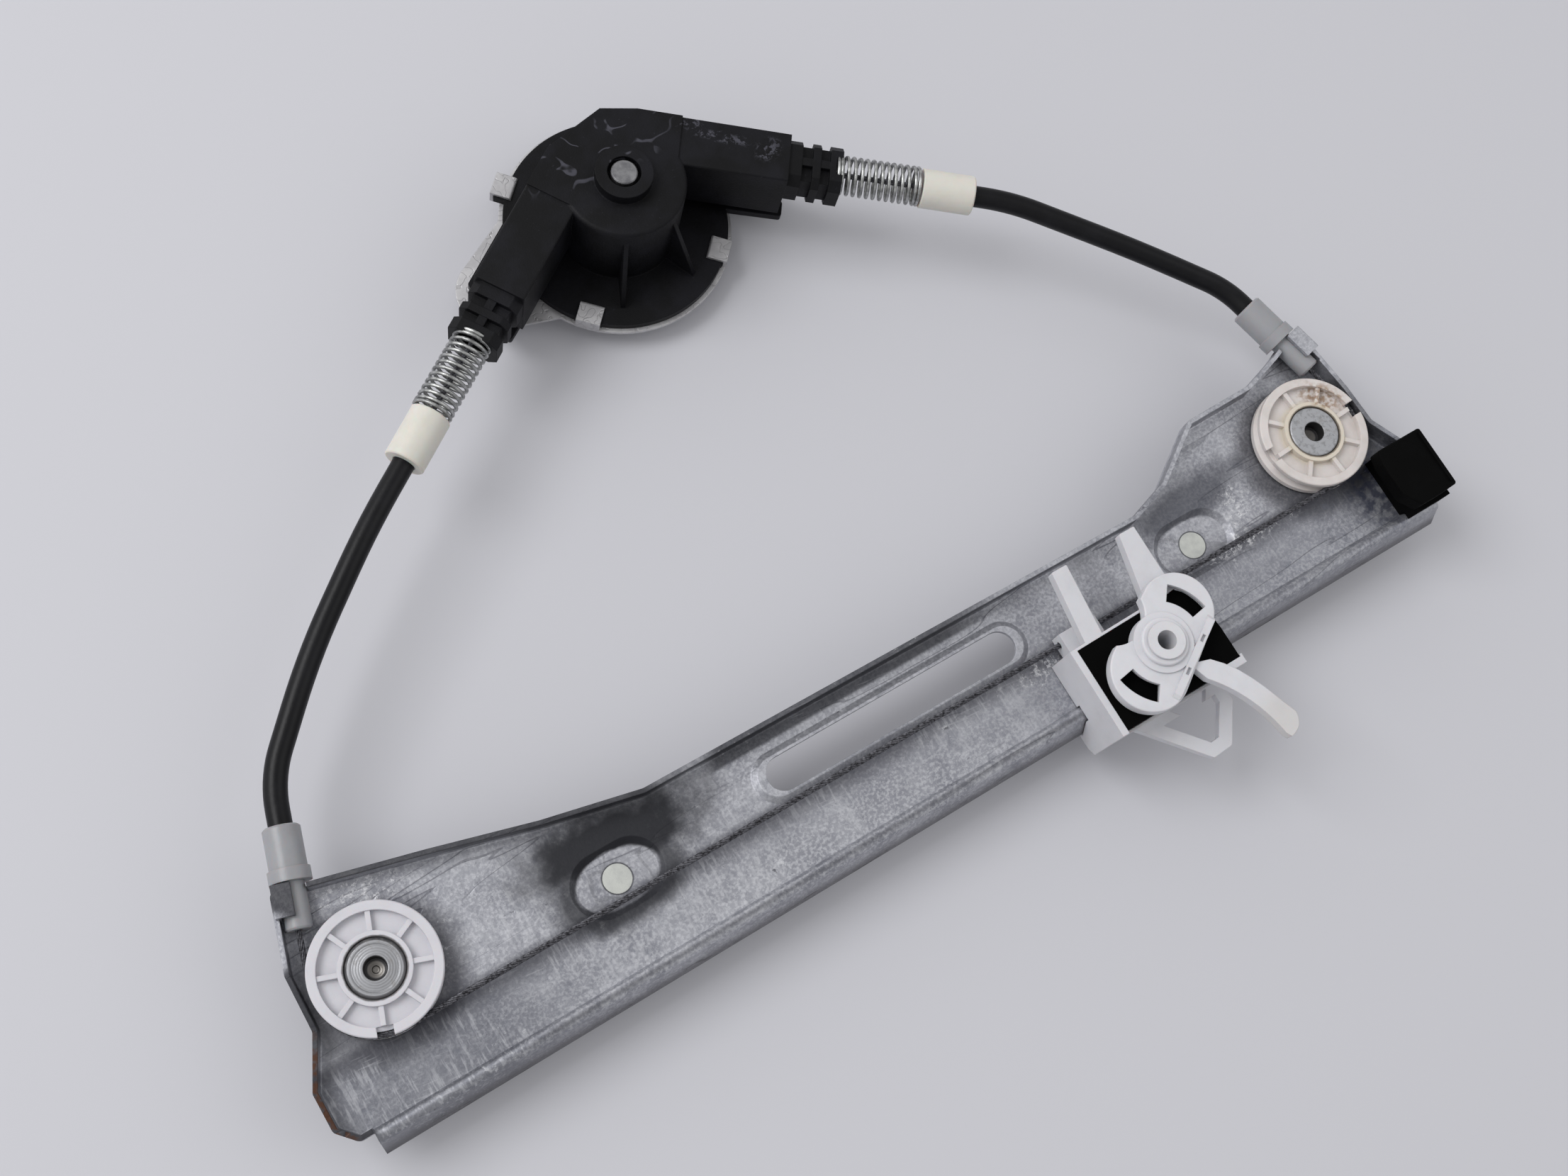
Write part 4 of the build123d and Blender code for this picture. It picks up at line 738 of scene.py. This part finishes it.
# %% [markdown]
# A take-up spring keeps the cable tight. Geometry Nodes wind it: a straight line
# of points is bent into a helix whose pitch closes up at both ends, as a real
# compression spring's does, and a round wire is swept along it.

# %% Springs
def field(tree, operation, *values):
    """One Math node of a geometry tree."""
    node = tree.nodes.new("ShaderNodeMath")
    node.operation = operation
    for index, value in enumerate(values):
        if isinstance(value, bpy.types.NodeSocket):
            tree.links.new(value, node.inputs[index])
        else:
            node.inputs[index].default_value = value
    return node.outputs[0]


def spring_tree():
    """Node tree that winds a wire into a spring along +Z."""
    tree = bpy.data.node_groups.new("wind_spring", "GeometryNodeTree")
    wanted = {"Radius": 0.005, "Wire": 0.0007, "Length": 0.025, "Turns": 10.0, "Closed": 1.5}
    for name, value in wanted.items():
        tree.interface.new_socket(name, in_out="INPUT", socket_type="NodeSocketFloat").default_value = value
    tree.interface.new_socket("Finish", in_out="INPUT", socket_type="NodeSocketMaterial")
    tree.interface.new_socket("Geometry", in_out="OUTPUT", socket_type="NodeSocketGeometry")
    group_in = tree.nodes.new("NodeGroupInput")
    group_out = tree.nodes.new("NodeGroupOutput")
    line = tree.nodes.new("GeometryNodeMeshLine")
    line.inputs["Count"].default_value = 320
    line.inputs["Offset"].default_value = (0, 0, 0)
    curve = tree.nodes.new("GeometryNodeMeshToCurve")
    tree.links.new(line.outputs[0], curve.inputs[0])
    index = tree.nodes.new("GeometryNodeInputIndex").outputs[0]
    share = field(tree, "DIVIDE", index, 319.0)
    angle = field(tree, "MULTIPLY", share, field(tree, "MULTIPLY", group_in.outputs["Turns"], 2 * pi))
    turn = field(tree, "MULTIPLY", share, group_in.outputs["Turns"])
    closed = group_in.outputs["Closed"]
    wire = field(tree, "MULTIPLY", group_in.outputs["Wire"], 2.0)
    open_turns = field(tree, "SUBTRACT", group_in.outputs["Turns"], field(tree, "MULTIPLY", closed, 2.0))
    free = field(tree, "SUBTRACT", group_in.outputs["Length"], wire)
    middle = field(tree, "SUBTRACT", free, field(tree, "MULTIPLY", field(tree, "MULTIPLY", closed, 2.0), wire))
    past_first = field(tree, "MAXIMUM", field(tree, "SUBTRACT", turn, closed), 0.0)
    in_middle = field(tree, "MINIMUM", past_first, open_turns)
    past_middle = field(tree, "SUBTRACT", past_first, in_middle)
    low = field(tree, "MULTIPLY", field(tree, "MINIMUM", turn, closed), wire)
    rise = field(tree, "MULTIPLY", field(tree, "DIVIDE", in_middle, open_turns), middle)
    high = field(tree, "MULTIPLY", past_middle, wire)
    height = field(tree, "ADD", field(tree, "ADD", low, rise), field(tree, "ADD", high, group_in.outputs["Wire"]))
    place = tree.nodes.new("ShaderNodeCombineXYZ")
    radius = field(tree, "SUBTRACT", group_in.outputs["Radius"], group_in.outputs["Wire"])
    tree.links.new(field(tree, "MULTIPLY", field(tree, "COSINE", angle), radius), place.inputs[0])
    tree.links.new(field(tree, "MULTIPLY", field(tree, "SINE", angle), radius), place.inputs[1])
    tree.links.new(height, place.inputs[2])
    bend = tree.nodes.new("GeometryNodeSetPosition")
    tree.links.new(curve.outputs[0], bend.inputs["Geometry"])
    tree.links.new(place.outputs[0], bend.inputs["Position"])
    circle = tree.nodes.new("GeometryNodeCurvePrimitiveCircle")
    circle.inputs["Resolution"].default_value = 10
    tree.links.new(group_in.outputs["Wire"], circle.inputs["Radius"])
    sweep = tree.nodes.new("GeometryNodeCurveToMesh")
    sweep.inputs["Fill Caps"].default_value = True
    tree.links.new(bend.outputs[0], sweep.inputs["Curve"])
    tree.links.new(circle.outputs["Curve"], sweep.inputs["Profile Curve"])
    real = tree.nodes.new("GeometryNodeRealizeInstances")
    tree.links.new(sweep.outputs[0], real.inputs[0])
    colour = tree.nodes.new("GeometryNodeSetMaterial")
    tree.links.new(real.outputs[0], colour.inputs["Geometry"])
    tree.links.new(group_in.outputs["Finish"], colour.inputs["Material"])
    tree.links.new(colour.outputs[0], group_out.inputs[0])
    return tree


def grown(name, tree, inputs, start=None):
    """Run a geometry tree once and keep its result as a plain mesh object."""
    seed = bpy.data.objects.new("seed", start or bpy.data.meshes.new("seed"))
    bpy.context.scene.collection.objects.link(seed)
    modifier = seed.modifiers.new("grow", "NODES")
    modifier.node_group = tree
    for item in tree.interface.items_tree:
        if item.in_out == "INPUT" and item.name in inputs:
            modifier[item.identifier] = inputs[item.name]
    bpy.context.view_layer.update()
    depsgraph = bpy.context.evaluated_depsgraph_get()
    mesh = bpy.data.meshes.new_from_object(seed.evaluated_get(depsgraph))
    bpy.data.objects.remove(seed)
    piece = bpy.data.objects.new(name, mesh)
    bpy.context.scene.collection.objects.link(piece)
    mesh.shade_smooth()
    return piece


def aim(piece, start, direction):
    """Move a mesh that was made along +Z so that it starts at a place and points a way."""
    turn = Vector(direction).to_track_quat("Z", "Y").to_matrix().to_4x4()
    piece.data.transform(Matrix.Translation(start) @ turn)


# %% [markdown]
# Each spring seats in its nozzle's cup and pushes on its ferrule. Both ends lie
# on the middle line of the construction model's sleeve, so that line is found
# from the cable that runs inside the spring.

# %% Seat the springs
def middle_line(node):
    """The two ends of a straight rod, as the middles of its end points."""
    points = [vertex.co for vertex in frame["nodes"][node].data.vertices]
    direction = (max(points, key=lambda p: (p - SHAFT).length) - min(points, key=lambda p: (p - SHAFT).length)).normalized()
    along = [point.dot(direction) for point in points]
    low, high = min(along), max(along)
    near = [p for p, a in zip(points, along) if a < low + 1e-5]
    far = [p for p, a in zip(points, along) if a > high - 1e-5]
    return sum(near, Vector()) / len(near), sum(far, Vector()) / len(far)


def seat_spring(side):
    start, end = middle_line(side + "_drum_cable")
    direction = (end - start).normalized()
    low, high = middle_line(side + "_spring")
    begin = start + direction * (low - start).dot(direction)
    length = (high - low).dot(direction)
    sleeve = [vertex.co for vertex in frame["nodes"][side + "_spring"].data.vertices]
    radius = max((point - start).cross(direction).length for point in sleeve)
    inputs = {"Radius": radius, "Wire": SPRING_WIRE / 2, "Length": length, "Turns": length / SPRING_PITCH}
    inputs |= {"Closed": SPRING_CLOSED, "Finish": FINISHES["zinc_spring"]}
    spring = grown("wound_" + side + "_spring", SPRING_TREE, inputs)
    aim(spring, begin, direction)
    put(spring, side + "_spring")
    print(side, "spring", round(length / MM, 1), "mm long,", len(spring.data.polygons), "faces")


SPRING_WIRE = 0.00126
SPRING_PITCH = 0.00222
SPRING_CLOSED = 1.4
SPRING_TREE = spring_tree()
for side in ("left", "right"):
    seat_spring(side)

# %% [markdown]
# The cable is a wire rope: six strands laid round a straight core. Laying them
# by hand would be hundreds of helices, so a tree does it: it copies the cable's
# middle line six times and moves each copy off the line, turning as it goes.
# The line's own normal and tangent say which way is out, also round a pulley.

# %% Wire rope
def vector_maths(tree, operation, *values):
    """One Vector Math node of a geometry tree."""
    node = tree.nodes.new("ShaderNodeVectorMath")
    node.operation = operation
    for name, value in zip(("Vector", "Vector_001"), values):
        socket = next(item for item in node.inputs if item.identifier == name)
        tree.links.new(value, socket)
    return node


def rope_tree():
    """Node tree that lays strands round a line of points."""
    tree = bpy.data.node_groups.new("lay_rope", "GeometryNodeTree")
    wanted = {"Radius": 0.00098, "Lay": 0.0125, "Step": 0.0011}
    tree.interface.new_socket("Geometry", in_out="INPUT", socket_type="NodeSocketGeometry")
    for name, value in wanted.items():
        tree.interface.new_socket(name, in_out="INPUT", socket_type="NodeSocketFloat").default_value = value
    tree.interface.new_socket("Strands", in_out="INPUT", socket_type="NodeSocketInt").default_value = 6
    tree.interface.new_socket("Finish", in_out="INPUT", socket_type="NodeSocketMaterial")
    tree.interface.new_socket("Geometry", in_out="OUTPUT", socket_type="NodeSocketGeometry")
    group_in = tree.nodes.new("NodeGroupInput").outputs
    curve = tree.nodes.new("GeometryNodeMeshToCurve")
    tree.links.new(group_in["Geometry"], curve.inputs[0])
    even = tree.nodes.new("GeometryNodeResampleCurve")
    even.mode = "LENGTH"
    tree.links.new(curve.outputs[0], even.inputs["Curve"])
    tree.links.new(group_in["Step"], even.inputs["Length"])
    copies = tree.nodes.new("GeometryNodeDuplicateElements")
    copies.domain = "SPLINE"
    tree.links.new(even.outputs[0], copies.inputs["Geometry"])
    tree.links.new(group_in["Strands"], copies.inputs["Amount"])
    along = tree.nodes.new("GeometryNodeSplineParameter").outputs["Length"]
    share = field(tree, "DIVIDE", copies.outputs["Duplicate Index"], group_in["Strands"])
    turns = field(tree, "ADD", field(tree, "DIVIDE", along, group_in["Lay"]), share)
    angle = field(tree, "MULTIPLY", turns, 2 * pi)
    strand = field(tree, "DIVIDE", group_in["Radius"], 3.0)
    out = field(tree, "MULTIPLY", strand, 2.0)
    normal = tree.nodes.new("GeometryNodeInputNormal").outputs[0]
    tangent = tree.nodes.new("GeometryNodeInputTangent").outputs[0]
    across = vector_maths(tree, "CROSS_PRODUCT", tangent, normal).outputs[0]
    moves = []
    for direction, operation in ((normal, "COSINE"), (across, "SINE")):
        scaled = vector_maths(tree, "SCALE", direction)
        tree.links.new(field(tree, "MULTIPLY", field(tree, operation, angle), out), scaled.inputs["Scale"])
        moves.append(scaled.outputs[0])
    laid = tree.nodes.new("GeometryNodeSetPosition")
    tree.links.new(copies.outputs["Geometry"], laid.inputs["Geometry"])
    tree.links.new(vector_maths(tree, "ADD", *moves).outputs[0], laid.inputs["Offset"])
    both = tree.nodes.new("GeometryNodeJoinGeometry")
    tree.links.new(laid.outputs[0], both.inputs[0])
    tree.links.new(even.outputs[0], both.inputs[0])
    circle = tree.nodes.new("GeometryNodeCurvePrimitiveCircle")
    circle.inputs["Resolution"].default_value = 6
    tree.links.new(strand, circle.inputs["Radius"])
    sweep = tree.nodes.new("GeometryNodeCurveToMesh")
    sweep.inputs["Fill Caps"].default_value = True
    tree.links.new(both.outputs[0], sweep.inputs["Curve"])
    tree.links.new(circle.outputs["Curve"], sweep.inputs["Profile Curve"])
    real = tree.nodes.new("GeometryNodeRealizeInstances")
    tree.links.new(sweep.outputs[0], real.inputs[0])
    colour = tree.nodes.new("GeometryNodeSetMaterial")
    tree.links.new(real.outputs[0], colour.inputs["Geometry"])
    tree.links.new(group_in["Finish"], colour.inputs["Material"])
    tree.links.new(colour.outputs[0], tree.nodes.new("NodeGroupOutput").inputs[0])
    return tree


ROPE_TREE = rope_tree()
print("rope tree has", len(ROPE_TREE.nodes), "nodes")

# %% [markdown]
# The cable leaves the left socket, runs round the left pulley, straight along
# the rail, round the right pulley and into the right socket. Its middle line is
# therefore two circles and the lines that touch them. Two more straight pieces
# run from the ferrules through the springs to the drum.

# %% Lay the cables
WRAP_R = 19.2
CABLE_LEVEL = 5.0
LEFT_TANGENT = 163.0
RIGHT_TANGENT = 13.7
LEAD = 39.5


def line_mesh(name, points):
    """A mesh of points joined by edges, which a tree can turn into a curve."""
    mesh = bpy.data.meshes.new(name)
    mesh.from_pydata(points, [(i, i + 1) for i in range(len(points) - 1)], [])
    return mesh


def round_pulley(centre, first, last):
    """Places round one pulley from one angle to another, in degrees."""
    steps = 40
    for number in range(steps + 1):
        angle = radians(first + (last - first) * number / steps)
        yield Vector(on_rail(centre + WRAP_R * cos(angle), WRAP_R * sin(angle), CABLE_LEVEL))


def cable_line():
    left = list(round_pulley(0, LEFT_TANGENT, 270))
    right = list(round_pulley(PULLEY_SPAN, 270, 360 + RIGHT_TANGENT))
    first = left[0] + (left[0] - left[1]).normalized() * LEAD * MM
    last = right[-1] + (right[-1] - right[-2]).normalized() * LEAD * MM
    return [first, *left, *right, last]


def lay(node, points):
    rope = grown("laid_" + node, ROPE_TREE, {"Finish": FINISHES["wire_rope"]}, line_mesh(node, points))
    put(rope, node)
    print(node, len(rope.data.polygons), "faces")


lay("wire_cable", cable_line())
for side in ("left", "right"):
    lay(side + "_drum_cable", middle_line(side + "_drum_cable"))

# %% [markdown]
# The photograph was taken on a pale floor in soft daylight. One large lamp stands
# high on the left, and a weaker one fills from the right. The world is brighter
# towards the window and darker overhead, because metal shows what stands round
# it, and an even sky would leave the springs and the rail flat. The floor is a
# plain sheet at the level of the stud ends, on which the part lies.

# %% Floor and light
def floor_sheet():
    finish = Finish("floor", roughness=0.7)
    finish.paint(srgb(193, 193, 199))
    mesh = bpy.data.meshes.new("floor")
    level = MODEL_BOX[0].z
    corners = [(x, y, level) for x, y in ((-3, -3), (3, -3), (3, 3), (-3, 3))]
    mesh.from_pydata(corners, [], [(0, 1, 2, 3)])
    floor = bpy.data.objects.new("floor", mesh)
    floor.data.materials.append(finish.material)
    bpy.context.scene.collection.objects.link(floor)
    return floor


def lamp(name, place, size, power):
    data = bpy.data.lights.new(name, "AREA")
    data.shape = "DISK"
    data.size = size
    data.energy = power
    light = bpy.data.objects.new(name, data)
    bpy.context.scene.collection.objects.link(light)
    light.location = place
    light.rotation_mode = "QUATERNION"
    light.rotation_quaternion = (Vector((0, 0.05, 0)) - Vector(place)).to_track_quat("-Z", "Y")
    return light


def sky(window_side, overhead, far_side):
    """A plain world whose brightness changes softly from the window to the far side."""
    world = bpy.data.worlds.new("sky")
    bpy.context.scene.world = world
    world.use_nodes = True
    tree = world.node_tree
    background = tree.nodes["Background"]
    way = tree.nodes.new("ShaderNodeTexCoord").outputs["Generated"]
    facing = tree.nodes.new("ShaderNodeVectorMath")
    facing.operation = "DOT_PRODUCT"
    tree.links.new(way, facing.inputs[0])
    facing.inputs[1].default_value = Vector((-0.62, 0.62, 0.35)).normalized()
    share = tree.nodes.new("ShaderNodeMapRange")
    share.inputs["From Min"].default_value = -1.0
    tree.links.new(facing.outputs["Value"], share.inputs["Value"])
    ramp = tree.nodes.new("ShaderNodeValToRGB")
    Finish.colour_stops(ramp.color_ramp, [(0.0, (far_side,) * 3), (0.92, (window_side,) * 3), (0.62, (overhead,) * 3)])
    tree.links.new(share.outputs[0], ramp.inputs[0])
    tree.links.new(ramp.outputs[0], background.inputs[0])


floor_sheet()
lamp("window", (-0.9, 0.9, 1.5), 1.1, 17.0)
lamp("fill", (1.2, -0.6, 1.4), 1.6, 5.0)
sky(1.0, 0.50, 0.55)
bpy.context.scene.view_settings.view_transform = "Standard"
print("floor at", round(MODEL_BOX[0].z / MM, 1), "mm")
